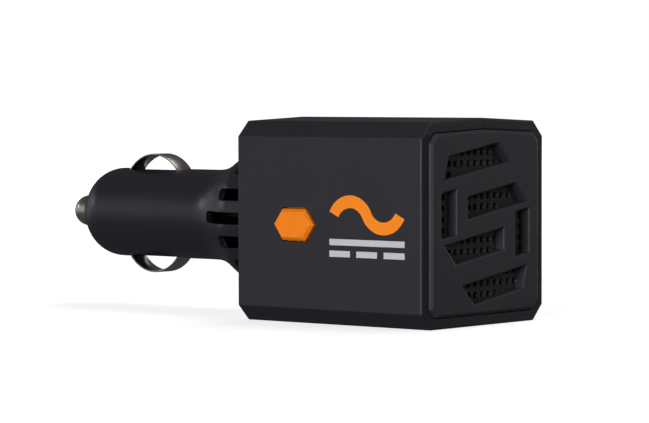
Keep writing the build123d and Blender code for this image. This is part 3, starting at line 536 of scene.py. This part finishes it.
# %% Trees and what they grow
class Tree(Graph):
    """A Geometry Nodes tree with named sizes."""

    kinds = {int: "NodeSocketInt", float: "NodeSocketFloat", tuple: "NodeSocketVector"}

    def __init__(self, name, **sizes):
        super().__init__(bpy.data.node_groups.new(name, "GeometryNodeTree"))
        faces = self.tree.interface
        faces.new_socket("Geometry", in_out="INPUT", socket_type="NodeSocketGeometry")
        faces.new_socket("Geometry", in_out="OUTPUT", socket_type="NodeSocketGeometry")
        self.identifiers = {}
        for size, kind in {**sizes, "Finish": None}.items():
            kind = self.kinds.get(kind, "NodeSocketMaterial")
            made = faces.new_socket(size, in_out="INPUT", socket_type=kind)
            self.identifiers[size] = made.identifier
        self.entry = self.tree.nodes.new("NodeGroupInput")

    def size(self, name):
        return Wire(self, self.entry.outputs[name])

    def close(self, geometry):
        """Ends the tree: instances made real, finish set."""
        real = self.node("GeometryNodeRealizeInstances", None, {0: geometry})
        painted = {"Geometry": real, "Material": self.size("Finish")}
        done = self.node("GeometryNodeSetMaterial", None, painted)
        self.tree.links.new(done.socket, self.tree.nodes.new("NodeGroupOutput").inputs[0])
        return self


def grown(tree, mesh, name, node, stands_for=(), **sizes):
    """Grows a tree on a mesh, as a plain piece that rides with a node's body."""
    host = bpy.data.objects.new(name, mesh)
    bpy.context.scene.collection.objects.link(host)
    growth = host.modifiers.new("growth", "NODES")
    growth.node_group = tree.tree
    finish = finish_of_node[node]
    growth[tree.identifiers["Finish"]] = finish.material
    for size, value in sizes.items():
        growth[tree.identifiers[size]] = value
    made = settled(host, name)
    made.shade_smooth()
    made.set_sharp_from_angle(angle=radians(34))
    print(name, len(made.polygons), "faces")
    return finished(made, name, node, finish, *stands_for)


def edge_path(points):
    """A mesh of edges through these points, for a tree to sweep along."""
    mesh = bpy.data.meshes.new("path")
    steps = [(index, index + 1) for index in range(len(points) - 1)]
    mesh.from_pydata([tuple(point) for point in points], steps, [])
    return mesh


# %% [markdown]
# The side contacts are strips of spring steel, bent into a bow with a flat foot at each end that
# hooks under the barrel's wall.  The rule is an arc between two feet, so a tree sweeps the strip's
# rounded section along that line.

# %% A strip swept along a line
strip_tree = Tree("swept_strip", Width=float, Thickness=float, Corner=float)
section = strip_tree.node(
    "GeometryNodeCurvePrimitiveQuadrilateral",
    {"mode": "RECTANGLE"},
    {"Width": strip_tree.size("Width"), "Height": strip_tree.size("Thickness")},
)
rounded = {"Curve": section, "Radius": strip_tree.size("Corner"), "Count": 2}
section = strip_tree.node("GeometryNodeFilletCurve", {"mode": "POLY"}, rounded)
line = strip_tree.node("GeometryNodeMeshToCurve", None, {"Mesh": strip_tree.size("Geometry")})
line = strip_tree.node("GeometryNodeSetCurveNormal", {"mode": "Z_UP"}, {"Curve": line})
swept = {"Curve": line, "Profile Curve": section, "Fill Caps": True}
strip_tree.close(strip_tree.node("GeometryNodeCurveToMesh", None, swept))


strip_width = 5.0 * mm
strip_thickness = 0.4 * mm
strip_corner = 0.12 * mm


def bow_line(node, side, thickness=strip_thickness, foot=1.9 * mm, steps=28):
    """Foot, arc, foot: worked out from the box of the CAD strip."""
    low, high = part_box(node)
    peak = (high.z if side > 0 else low.z) - side * thickness / 2
    floor_z = (low.z if side > 0 else high.z) + side * thickness / 2
    rise = abs(peak - floor_z)
    half = (high.x - low.x) / 2 - foot
    radius = (half**2 + rise**2) / (2 * rise)
    turn = atan2(half, radius - rise)
    middle = (low + high) / 2
    line = [Vector((low.x, middle.y, floor_z))]
    for step in range(steps + 1):
        angle = turn * (2 * step / steps - 1)
        height = peak - side * (radius - radius * cos(angle))
        line.append(Vector((middle.x + radius * sin(angle), middle.y, height)))
    line.append(Vector((high.x, middle.y, floor_z)))
    return line


for node, name, side in (("contact_top", "upper_bow", 1), ("contact_bottom", "lower_bow", -1)):
    grown(
        strip_tree,
        edge_path(bow_line(node, side)),
        name,
        node,
        (node,),
        Width=strip_width,
        Thickness=strip_thickness,
        Corner=strip_corner,
    )

# %% [markdown]
# Turned and moulded round parts are a stack of rings: each has a distance along the axis and a
# radius.  The radius may change with the angle, which cuts a cross into a screw's head with no
# Boolean.  A stack that starts and ends on the axis is closed.


# %% Stacks of rings
def ringed(rings, axis, sides=24):
    """Joins rings of (distance, radius) about an axis into a closed mesh."""
    work = bmesh.new()
    directions = {"X": ((1, 0, 0), (0, 1, 0), (0, 0, 1)), "Y": ((0, 1, 0), (0, 0, 1), (1, 0, 0))}
    forward, first, second = (Vector(direction) for direction in directions[axis])
    loops = []
    for distance, radius in rings:
        loop = []
        for side in range(sides):
            angle = 2 * pi * side / sides
            reach = radius(angle) if callable(radius) else radius
            loop.append(forward * distance + (first * cos(angle) + second * sin(angle)) * reach)
        if radius == 0:
            loops.append([work.verts.new(forward * distance)] * sides)
        else:
            loops.append([work.verts.new(place) for place in loop])
    for lower, upper in zip(loops, loops[1:]):
        for side in range(sides):
            near = (side + 1) % sides
            corners = [lower[side], lower[near], upper[near], upper[side]]
            corners = [vert for index, vert in enumerate(corners) if vert not in corners[:index]]
            work.faces.new(corners)
    bmesh.ops.recalc_face_normals(work, faces=work.faces[:])
    mesh = bpy.data.meshes.new("rings")
    work.to_mesh(mesh)
    work.free()
    return mesh


print("a cone has", len(ringed([(0, 0), (0, mm), (mm, 0)], "X").polygons), "faces")

# %% [markdown]
# The tip is a turned metal pin: a domed end, a flange that rests behind the collar, and a cup that
# holds the fuse.  The collar round it is a black moulded ring, which is round as well, so both are
# built as a profile of distances and radii; an arc of points makes the dome.


# %% Tip and collar
def arc(start, end, bulge, steps=12):
    """Points of an arc from start to end that stands out by bulge from the line between them."""
    line = Vector(end) - Vector(start)
    half = line.length / 2
    radius = (half**2 + bulge**2) / (2 * bulge)
    opening = 2 * atan2(half, radius - bulge)
    out = Vector((line.y, -line.x)).normalized()
    centre = (Vector(start) + Vector(end)) / 2 - out * (radius - bulge)
    places = []
    for step in range(steps + 1):
        angle = opening * (step / steps - 0.5)
        reach = out * radius * cos(angle) + line.normalized() * radius * sin(angle)
        places.append(tuple(centre + reach))
    return places


def turned(rings, name, node, finish, *stands_for, turn=34.0):
    """A turned piece about the plug's axis, smooth but for its edges."""
    mesh = ringed(rings, "X", sides=64)
    mesh.transform(Matrix.Translation(Vector((0, 0, barrel_axis.z))))
    mesh.shade_smooth()
    mesh.set_sharp_from_angle(angle=radians(turn))
    print(name, len(mesh.polygons), "faces")
    return finished(mesh, name, node, finish, *stands_for)


def eased(rings, width):
    """The same rings with each corner cut back by this width."""
    places = [rings[0]]
    for before, here, after in zip(rings, rings[1:], rings[2:]):
        here = Vector(here)
        ways = [Vector(other) - here for other in (before, after)]
        if min(way.length for way in ways) > 2.2 * width and ways[0].angle(ways[1]) < radians(150):
            places += [tuple(here + way.normalized() * width) for way in ways]
        else:
            places.append(tuple(here))
    return places + [rings[-1]]


tip_low, tip_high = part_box("tip_contact")
collar_low, collar_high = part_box("nose_ring")
tip_radius = 3.65 * mm
dome_base = tip_low.x + 3.62 * mm
dome_bulge = 0.9 * mm
dome_flat = 0.5 * mm
flange_radius = 4.4 * mm
flange_front = collar_high.x
flange_rear = flange_front + 1.2 * mm
cup_radius = 2.62 * mm
cup_floor = flange_front + 0.6 * mm
tip_edge = 0.08 * mm
tip_rings = [(cup_floor, 0), (cup_floor, cup_radius), (tip_high.x, cup_radius)]
tip_rings += [(tip_high.x, tip_radius), (flange_rear, tip_radius), (flange_rear, flange_radius)]
tip_rings += [(flange_front, flange_radius), (flange_front, tip_radius), (dome_base, tip_radius)]
tip_rings = eased(tip_rings, tip_edge)
tip_rings += arc((dome_base, tip_radius), (tip_low.x, dome_flat), dome_bulge)[1:]
tip_rings += [(tip_low.x, 0)]
turned(tip_rings, "tip_pin", "tip_contact", turned_nickel, "tip_contact")

collar_clearance = 0.07 * mm
collar_wall = 0.62 * mm
collar_round = 0.2 * mm
collar_edge = 0.06 * mm
collar_bore = tip_radius + collar_clearance
collar_radius = collar_bore + collar_wall
collar_flange = (collar_high.z - collar_low.z) / 2
collar_step = collar_high.x - 1.6 * mm
corner_start = (collar_low.x + collar_round, collar_radius)
corner_end = (collar_low.x, collar_radius - collar_round)
collar_rings = [(collar_high.x, collar_bore), (collar_high.x, collar_flange)]
collar_rings += [(collar_step, collar_flange), (collar_step, collar_radius)]
collar_rings += arc(corner_start, corner_end, 0.29 * collar_round, 6)
collar_rings += [(collar_low.x, collar_bore), (collar_high.x, collar_bore)]
turned(eased(collar_rings, collar_edge), "nose_collar", "nose_ring", case_black, "nose_ring")

# %% [markdown]
# Four screws hold the halves together from the back.  One screw is built, and a tree sets copies of
# it on a grid, because a grid is what the bosses stand on.

# %% A grid of copies
grid_tree = Tree(
    "grid_of_copies", Across=int, Up=int, Step_Across=tuple, Step_Up=tuple, Corner=tuple
)
row = {
    "Count": grid_tree.size("Across"),
    "Start Location": grid_tree.size("Corner"),
    "Offset": grid_tree.size("Step_Across"),
}
row = grid_tree.node("GeometryNodeMeshLine", {"mode": "OFFSET"}, row)
column = {"Count": grid_tree.size("Up"), "Offset": grid_tree.size("Step_Up")}
column = grid_tree.node("GeometryNodeMeshLine", {"mode": "OFFSET"}, column)
columns = grid_tree.node("GeometryNodeInstanceOnPoints", None, {"Points": row, "Instance": column})
places = grid_tree.node("GeometryNodeRealizeInstances", None, {0: columns})
copies = {"Points": places, "Instance": grid_tree.size("Geometry")}
grid_tree.close(grid_tree.node("GeometryNodeInstanceOnPoints", None, copies))
print("grid tree has", len(grid_tree.tree.nodes), "nodes")


# %% Screws
def cross(arm, half_width):
    """Radius of a cross-shaped recess at an angle."""

    def radius(angle):
        off = abs((angle + pi / 4) % (pi / 2) - pi / 4)
        return min(arm, half_width / max(sin(off), 1e-6))

    return radius


screws_low, screws_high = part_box("case_screws")
head = 1.9 * mm
head_rise = 1.5 * mm
head_top = 1.44 * mm
shank = 1.08 * mm
neck = 0.9 * shank
screw_end = -21.95 * mm
first_crest = -21.2 * mm
pitch = 0.8 * mm
crest_to_root = 0.35 * mm
screw_seat_y = screws_high.y - head_rise
screw_rings = [(screw_end, 0), (screw_end, 0.4 * shank)]
for turn in range(24):
    crest = first_crest + pitch * turn
    screw_rings += [(crest, shank), (crest + crest_to_root, 0.8 * shank)]
screw_rings += [(-2 * pitch, neck), (0, neck), (0, 0.97 * head), (0.1 * mm, head), (0.4 * mm, head)]
screw_rings += [(0.9 * mm, 0.86 * head), (1.3 * mm, 0.62 * head), (head_top, 0.5 * head)]
recess_mouth, recess_foot = cross(0.8 * mm, 0.2 * mm), cross(0.62 * mm, 0.15 * mm)
screw_rings += [(head_top, recess_mouth), (0.6 * mm, recess_foot), (0.5 * mm, 0)]
screw_step = screws_high - screws_low - Vector((2 * head, 0, 2 * head))
grown(
    grid_tree,
    ringed(screw_rings, "Y", sides=32),
    "cross_head_screws",
    "case_screws",
    ("case_screws",),
    Across=2,
    Up=2,
    Step_Across=(screw_step.x, 0.0, 0.0),
    Step_Up=(0.0, 0.0, screw_step.z),
    Corner=(screws_low.x + head, screw_seat_y, screws_low.z + head),
)

# %% [markdown]
# The screen behind the grille is a plastic plate with straight rows of round holes.  Each hole has
# a thin raised lip, and that lip is what catches the light.  The holes are found in the screen's
# own mesh, so the lips sit exactly on them.


# %% Lips of the air holes
def hole_centres(node, largest):
    """Middles of the round holes up to this radius through a plate that is square to X."""
    work = bmesh.new()
    work.from_mesh(nodes[node].data)
    bmesh.ops.remove_doubles(work, verts=work.verts, dist=1e-7)
    walls = {face for face in work.faces if abs(face.normal.x) < 0.1}
    centres = []
    while walls:
        hole = {walls.pop()}
        edge_of_search = list(hole)
        while edge_of_search:
            face = edge_of_search.pop()
            for other in {near for edge in face.edges for near in edge.link_faces} & walls:
                walls.discard(other)
                hole.add(other)
                edge_of_search.append(other)
        corners = [vert.co for face in hole for vert in face.verts]
        centre = sum(corners, Vector()) / len(corners)
        if max((corner.yz - centre.yz).length for corner in corners) < largest:
            centres.append(Vector((0, centre.y, centre.z)))
    work.free()
    return centres


hole_radius = 0.72 * mm
lip_radius = 0.09 * mm
lip_sunk = 0.02 * mm
screen_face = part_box("perforated_screen")[1].x
air_holes = hole_centres("perforated_screen", hole_radius + 0.06 * mm)
lip_tree = Tree("hole_lips", Hole=float, Lip=float, Face=float)
loop = {"Radius": lip_tree.size("Hole") + lip_tree.size("Lip"), "Resolution": 18}
loop = lip_tree.node("GeometryNodeCurvePrimitiveCircle", None, loop)
edge = {"Radius": lip_tree.size("Lip"), "Resolution": 6}
edge = lip_tree.node("GeometryNodeCurvePrimitiveCircle", None, edge)
lip = lip_tree.node("GeometryNodeCurveToMesh", None, {"Curve": loop, "Profile Curve": edge})
shift = lip_tree.node("ShaderNodeCombineXYZ", None, {"X": lip_tree.size("Face")})
upright = {"Geometry": lip, "Translation": shift, "Rotation": (0, pi / 2, 0)}
lip = lip_tree.node("GeometryNodeTransform", None, upright)
on_holes = {"Points": lip_tree.size("Geometry"), "Instance": lip}
lip_tree.close(lip_tree.node("GeometryNodeInstanceOnPoints", None, on_holes))
hole_mesh = bpy.data.meshes.new("air_holes")
hole_mesh.from_pydata([tuple(place) for place in air_holes], [], [])
grown(
    lip_tree,
    hole_mesh,
    "air_hole_lips",
    "perforated_screen",
    Hole=hole_radius,
    Lip=lip_radius,
    Face=screen_face - lip_sunk,
)
print(len(air_holes), "air holes")

# %% [markdown]
# The fan has seven blades round a cup-shaped hub that holds the motor.  A blade is twisted, because
# its tip moves faster than its root, and it is thickest near its middle.  One blade is built as a
# closed surface and a tree turns copies of it about the shaft.

# %% Copies round a shaft
ring_tree = Tree("copies_round_a_shaft", Count=int, Centre=tuple, Turn=tuple)
still = {"Count": ring_tree.size("Count"), "Start Location": ring_tree.size("Centre")}
still["Offset"] = (0, 0, 0)
still = ring_tree.node("GeometryNodeMeshLine", {"mode": "OFFSET"}, still)
share = ring_tree.node("GeometryNodeInputIndex") / ring_tree.size("Count")
turn = {"Vector": ring_tree.size("Turn"), "Scale": share}
turn = ring_tree.node("ShaderNodeVectorMath", {"operation": "SCALE"}, turn)
copies = {"Points": still, "Instance": ring_tree.size("Geometry"), "Rotation": turn}
ring_tree.close(ring_tree.node("GeometryNodeInstanceOnPoints", None, copies))


# %% Fan
def blade_mesh(root, tip, chord, camber=0.9 * mm, thickness=0.42 * mm, spans=7, steps=8):
    """One twisted, cambered blade standing on +Z, wrapped round the X axis."""
    root_pitch, twist = radians(36), radians(20)
    work = bmesh.new()
    sheets = {1: [], -1: []}
    for span in range(spans + 1):
        share = span / spans
        radius = root + (tip - root) * share
        pitch = root_pitch + twist * share
        for side, sheet in sheets.items():
            line = []
            for step in range(steps + 1):
                place = step / steps - 0.5
                bulge = side * thickness * (1 - 3.4 * place**2) * (1 - 0.35 * share)
                off = camber * (1 - 4 * place**2) + bulge
                axial = chord * place * cos(pitch) - off * sin(pitch)
                round_ = chord * place * sin(pitch) + off * cos(pitch)
                angle = round_ / radius
                line.append(work.verts.new((axial, radius * sin(angle), radius * cos(angle))))
            sheet.append(line)
    for sheet in sheets.values():
        for low, high in zip(sheet, sheet[1:]):
            for step in range(steps):
                work.faces.new((low[step], low[step + 1], high[step + 1], high[step]))
    top, bottom = sheets[1], sheets[-1]
    for span in range(spans):
        for step in (0, steps):
            upper = (top[span][step], top[span + 1][step])
            work.faces.new((*upper, bottom[span + 1][step], bottom[span][step]))
    for span in (0, spans):
        for step in range(steps):
            upper = (top[span][step], top[span][step + 1])
            work.faces.new((*upper, bottom[span][step + 1], bottom[span][step]))
    bmesh.ops.recalc_face_normals(work, faces=work.faces[:])
    mesh = bpy.data.meshes.new("blade")
    work.to_mesh(mesh)
    work.free()
    return mesh


rotor_low, rotor_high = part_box("fan_rotor")
hub = 8.2 * mm
cup = 7.3 * mm
blade_root = cup + 0.4 * mm
blade_tip = 15.85 * mm
blade_chord = 8.6 * mm
depth = rotor_high.x - rotor_low.x
grown(
    ring_tree,
    blade_mesh(blade_root, blade_tip, blade_chord),
    "fan_blades",
    "fan_rotor",
    ("fan_rotor",),
    Count=7,
    Centre=(rotor_low.x + depth / 2, 0.0, barrel_axis.z),
    Turn=(2 * pi, 0.0, 0.0),
)
cup_depth = depth - 0.9 * mm
hub_rings = [(cup_depth, 0), (cup_depth, cup), (0, cup), (0, hub), (depth - 1.2 * mm, hub)]
hub_rings += [(depth - 0.5 * mm, 0.96 * hub), (depth - 0.1 * mm, 0.88 * hub)]
hub_rings += [(depth, 0.8 * hub), (depth, 0)]
hub_mesh = ringed(hub_rings, "X", sides=48)
hub_mesh.transform(Matrix.Translation((rotor_low.x, 0, barrel_axis.z)))
hub_mesh.shade_smooth()
hub_mesh.set_sharp_from_angle(angle=radians(34))
finished(hub_mesh, "fan_hub", "fan_rotor", fan_black)

# %% [markdown]
# Wire is the same everywhere: a round section along a line.  The spring behind the fuse is a helix
# that rides with its node's body; on the real plug it gets shorter when the tip is pushed in.

# %% Spring
spring_tree = Tree("coil_spring", Turns=float, Radius=float, Length=float, Wire=float, Start=tuple)
helix = {
    "Resolution": 28,
    "Rotations": spring_tree.size("Turns"),
    "Start Radius": spring_tree.size("Radius"),
    "End Radius": spring_tree.size("Radius"),
    "Height": spring_tree.size("Length"),
}
helix = spring_tree.node("GeometryNodeCurveSpiral", None, helix)
laid = {"Geometry": helix, "Translation": spring_tree.size("Start"), "Rotation": (0, pi / 2, 0)}
helix = spring_tree.node("GeometryNodeTransform", None, laid)
wire = {"Radius": spring_tree.size("Wire"), "Resolution": 10}
wire = spring_tree.node("GeometryNodeCurvePrimitiveCircle", None, wire)
coiled = {"Curve": helix, "Profile Curve": wire, "Fill Caps": True}
spring_tree.close(spring_tree.node("GeometryNodeCurveToMesh", None, coiled))

spring_low, spring_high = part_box("pin_spring")
spring_wire = 0.25 * mm
spring_length = spring_high.x - spring_low.x
spring = grown(
    spring_tree,
    bpy.data.meshes.new("empty"),
    "tip_spring",
    "pin_spring",
    ("pin_spring",),
    Turns=6.0,
    Radius=(spring_high.z - spring_low.z) / 2 - spring_wire,
    Length=spring_length - 2 * spring_wire,
    Wire=spring_wire,
    Start=(spring_low.x + spring_wire, 0.0, barrel_axis.z),
)
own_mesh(spring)
print("spring", round(spring_length / mm, 1), "mm long")

# %% [markdown]
# The choke's wire goes round a ferrite ring, turn beside turn, and the transformer's goes round its
# middle leg.  Each turn of the choke is a rounded loop, and a tree turns copies of it about the
# ring's axis; the transformer's wire is one long line that a tree gives its thickness.


# %% Wire windings
def rounded_loop(width, height, corner, steps=4):
    """Corners of a rounded rectangle round the origin, in order."""
    places = []
    for quarter in range(4):
        across = (width / 2 - corner) * (1 if quarter in (0, 3) else -1)
        up = (height / 2 - corner) * (1 if quarter < 2 else -1)
        for step in range(steps + 1):
            angle = (quarter + step / steps) * pi / 2
            places.append((across + corner * cos(angle), up + corner * sin(angle)))
    return places


turns_tree = Tree("turns_of_wire", Wire=float, Count=int, Centre=tuple, Turn=tuple)
line = turns_tree.node("GeometryNodeMeshToCurve", None, {"Mesh": turns_tree.size("Geometry")})
wire = {"Radius": turns_tree.size("Wire"), "Resolution": 8}
wire = turns_tree.node("GeometryNodeCurvePrimitiveCircle", None, wire)
wound = {"Curve": line, "Profile Curve": wire, "Fill Caps": True}
wound = turns_tree.node("GeometryNodeCurveToMesh", None, wound)
still = {"Count": turns_tree.size("Count"), "Start Location": turns_tree.size("Centre")}
still["Offset"] = (0, 0, 0)
still = turns_tree.node("GeometryNodeMeshLine", {"mode": "OFFSET"}, still)
share = turns_tree.node("GeometryNodeInputIndex") / turns_tree.size("Count")
turn = {"Vector": turns_tree.size("Turn"), "Scale": share}
turn = turns_tree.node("ShaderNodeVectorMath", {"operation": "SCALE"}, turn)
copies = {"Points": still, "Instance": wound, "Rotation": turn}
turns_tree.close(turns_tree.node("GeometryNodeInstanceOnPoints", None, copies))

ring_size = size_of("choke_core")
ring_bore = 1.7 * mm
ring_wall = ring_size.x / 2 - ring_bore
ring_middle = ring_bore + ring_wall / 2
choke_wire = 0.3 * mm
choke_corner = 0.5 * mm
loop = rounded_loop(ring_wall + 2 * choke_wire, ring_size.y + 2.4 * choke_wire, choke_corner)
turn_mesh = bpy.data.meshes.new("turn")
turn_mesh.from_pydata(
    [(across + ring_middle, up, 0) for across, up in loop],
    [(i, (i + 1) % len(loop)) for i in range(len(loop))],
    [],
)
choke_middle = middle_of("choke_core")
grown(
    turns_tree,
    turn_mesh,
    "choke_turns",
    "choke_winding",
    ("choke_winding",),
    Wire=choke_wire,
    Count=19,
    Centre=tuple(choke_middle),
    Turn=(0.0, -radians(300), 0.0),
)

winding_size = size_of("transformer_winding")
winding_middle = middle_of("transformer_winding")
winding_wire = 0.36 * mm
winding_corner = 2.6 * mm
layer_step = 0.68 * mm
layers = 3
turns = int((winding_size.y - 2 * winding_wire) / (2 * winding_wire))
line = []
winding_span = winding_size.y - 2 * winding_wire
for layer in range(layers):
    inset = winding_wire + layer_step * layer
    width, height = winding_size.x - 2 * inset, winding_size.z - 2 * inset
    loop = rounded_loop(width, height, winding_corner - inset)
    count = turns * len(loop)
    for step in range(count):
        across, up = loop[step % len(loop)]
        climb = (step / count - 0.5) * winding_span * (1 if layer % 2 == 0 else -1)
        line.append(winding_middle + Vector((across, climb, up)))
grown(
    turns_tree,
    edge_path(line),
    "transformer_turns",
    "transformer_winding",
    ("transformer_winding",),
    Wire=winding_wire,
    Count=1,
    Centre=(0.0, 0.0, 0.0),
    Turn=(0.0, 0.0, 0.0),
)
print(turns, "turns in each of", layers, "layers")

# %% [markdown]
# The heat sink is an extrusion: a base with thin fins that taper to a rounded edge.  One fin is
# built and the grid tree sets five of them side by side on the base.


# %% Heat sink
def extruded(outline, start, end, bevel):
    """A bar along Z with this outline in X and Y and its long edges eased."""
    work = bmesh.new()
    foot = work.faces.new([work.verts.new((x, y, start)) for x, y in outline])
    risen = bmesh.ops.extrude_face_region(work, geom=[foot])["geom"]
    moved = [item for item in risen if isinstance(item, bmesh.types.BMVert)]
    bmesh.ops.translate(work, verts=moved, vec=(0, 0, end - start))
    bmesh.ops.recalc_face_normals(work, faces=work.faces[:])
    bmesh.ops.bevel(work, geom=work.edges[:], offset=bevel, segments=2, profile=0.5, affect="EDGES")
    mesh = bpy.data.meshes.new("bar")
    work.to_mesh(mesh)
    work.free()
    return mesh


sink_low, sink_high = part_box("heat_sink")
fins = 5
fin = 0.45 * mm
fin_edge = 0.14 * mm
base_edge = 0.15 * mm
base_top = sink_low.y + 1.6 * mm
fin_foot = base_top - 0.2 * mm
fin_outline = [(-fin, fin_foot), (fin, fin_foot), (0.7 * fin, sink_high.y), (-0.7 * fin, sink_high.y)]
grown(
    grid_tree,
    extruded(fin_outline, sink_low.z, sink_high.z, fin_edge),
    "sink_fins",
    "heat_sink",
    ("heat_sink",),
    Across=fins,
    Up=1,
    Step_Across=((sink_high.x - sink_low.x - 2 * fin) / (fins - 1), 0.0, 0.0),
    Step_Up=(0.0, 0.0, 0.0),
    Corner=(sink_low.x + fin, 0.0, 0.0),
)
base_outline = [(sink_low.x, sink_low.y), (sink_high.x, sink_low.y)]
base_outline += [(sink_high.x, base_top), (sink_low.x, base_top)]
base_mesh = extruded(base_outline, sink_low.z, sink_high.z, base_edge)
finished(base_mesh, "sink_base", "heat_sink", aluminium)

# %% [markdown]
# The camera looks at the front face from the grille's side, a little above mid-height.  A long
# lens from well away keeps upright edges nearly parallel, as in a catalogue.

# %% Camera
look_from = radians(39.22)
look_down = radians(2.32)
look_roll = radians(-0.08)
target = Vector((1.28, -24.53, 24.76)) * mm
distance = 654 * mm
level = cos(look_down)
back = Vector((sin(look_from) * level, -cos(look_from) * level, sin(look_down)))
right = Vector((cos(look_from), sin(look_from), 0))
up = back.cross(right)
turned_right = right * cos(look_roll) + up * sin(look_roll)
turned_up = up * cos(look_roll) - right * sin(look_roll)
camera = bpy.data.objects.new("camera", bpy.data.cameras.new("camera"))
bpy.context.scene.collection.objects.link(camera)
facing = Matrix((turned_right, turned_up, back)).transposed().to_4x4()
camera.matrix_world = Matrix.Translation(target + back * distance) @ facing
camera.data.lens = 169.5
camera.data.sensor_width = 36.0
camera.data.clip_start = 0.01
bpy.context.scene.camera = camera
print("camera", [round(value / mm) for value in camera.location], "mm")

# %% [markdown]
# The object stands on pale paper in a white room.  Paper that only reflected would turn grey away
# from the lamps, so it glows a little, and more with distance.  A white room would also fill every
# shadow on black plastic with light, so the room is white only where the camera sees it and dim
# where it lights the object, and the paper is left out of the plastic's reflections.

# %% Paper and room
bpy.context.scene.view_settings.view_transform = "Standard"


def pale(name, glow):
    """Pale matt studio paper that glows a little, and more away from the object."""
    finish = Finish(name, Roughness=0.9, Emission_Strength=1.0)
    mottle = finish.noise(3.0, 2.0)
    length = {"operation": "LENGTH"}
    away = finish.node("ShaderNodeVectorMath", length, {0: finish.place}, output="Value")
    share = ((away - 0.15) / 0.6).clipped()  # from 0.15 m to 0.75 m away
    finish.set(
        Base_Color=finish.colours(mottle, (0.8, 0.8, 0.8, 1), (0.84, 0.84, 0.84, 1)),
        Emission_Color=finish.colours(share, (glow, glow, glow, 1), (1.0, 1.0, 1.0, 1.0)),
    )
    return finish


paper_glow = 0.68
paper_radius = 30.0
floor_mesh = bpy.data.meshes.new("floor")
work = bmesh.new()
bmesh.ops.create_circle(work, cap_ends=True, segments=96, radius=paper_radius)
work.to_mesh(floor_mesh)
work.free()
floor = bpy.data.objects.new("floor", floor_mesh)
bpy.context.scene.collection.objects.link(floor)
dress(floor, pale("floor_paper", paper_glow))
floor.visible_glossy = False
floor.visible_diffuse = False

room_light = 0.07
world = bpy.data.worlds.new("studio")
world.use_nodes = True
room = Graph(world.node_tree)
seen = room.node("ShaderNodeLightPath", output="Is Camera Ray")
backdrop = world.node_tree.nodes["Background"].inputs
room.give(backdrop["Color"], (1.0, 1.0, 1.0, 1.0))
room.give(backdrop["Strength"], seen * (1.0 - room_light) + room_light)
bpy.context.scene.world = world
print("paper", 2 * paper_radius, "m across, glow", paper_glow, "and room light", room_light)

# %% [markdown]
# Black plastic shows its shape by what it mirrors, so each lamp is a soft rectangle put where one
# part of the object mirrors it: a wide one for the front face, one along the plug, a narrow one for
# the housing's edge, a small one for highlights, one for the grille's side, one above and one
# behind.

# %% Softboxes
aim_height = 0.022  # metres above the floor, the housing's mid-height


def softbox(name, azimuth, elevation, distance, width, height, power):
    """A rectangular lamp aimed at the object.

    Angles are in degrees, azimuth from the front; lengths in metres and power in watts.
    """
    turn, tilt = radians(azimuth), radians(elevation)
    place = Vector((sin(turn) * cos(tilt), -cos(turn) * cos(tilt), sin(tilt))) * distance
    lamp = bpy.data.lights.new(name, "AREA")
    lamp.shape = "RECTANGLE"
    lamp.size = width
    lamp.size_y = height
    lamp.energy = power
    thing = bpy.data.objects.new(name, lamp)
    bpy.context.scene.collection.objects.link(thing)
    facing = place.to_track_quat("Z", "Y").to_matrix().to_4x4()
    thing.matrix_world = Matrix.Translation(place + Vector((0, 0, aim_height))) @ facing


softbox("key_softbox", 14, 6, 1.5, 0.8, 0.5, 23)
softbox("left_softbox", -70, 8, 1.5, 1.7, 0.8, 2.2)
softbox("edge_softbox", -44, 1, 1.5, 0.05, 0.6, 0.15)
softbox("spot_softbox", -70, 14, 1.5, 0.14, 0.14, 0.6)
softbox("grille_softbox", 112, 26, 1.5, 0.8, 0.7, 3.2)
softbox("top_softbox", 178, 70, 1.6, 0.7, 0.7, 4.5)
softbox("back_softbox", 186, 7, 1.6, 0.9, 0.5, 10)
print("stage and lights ready")
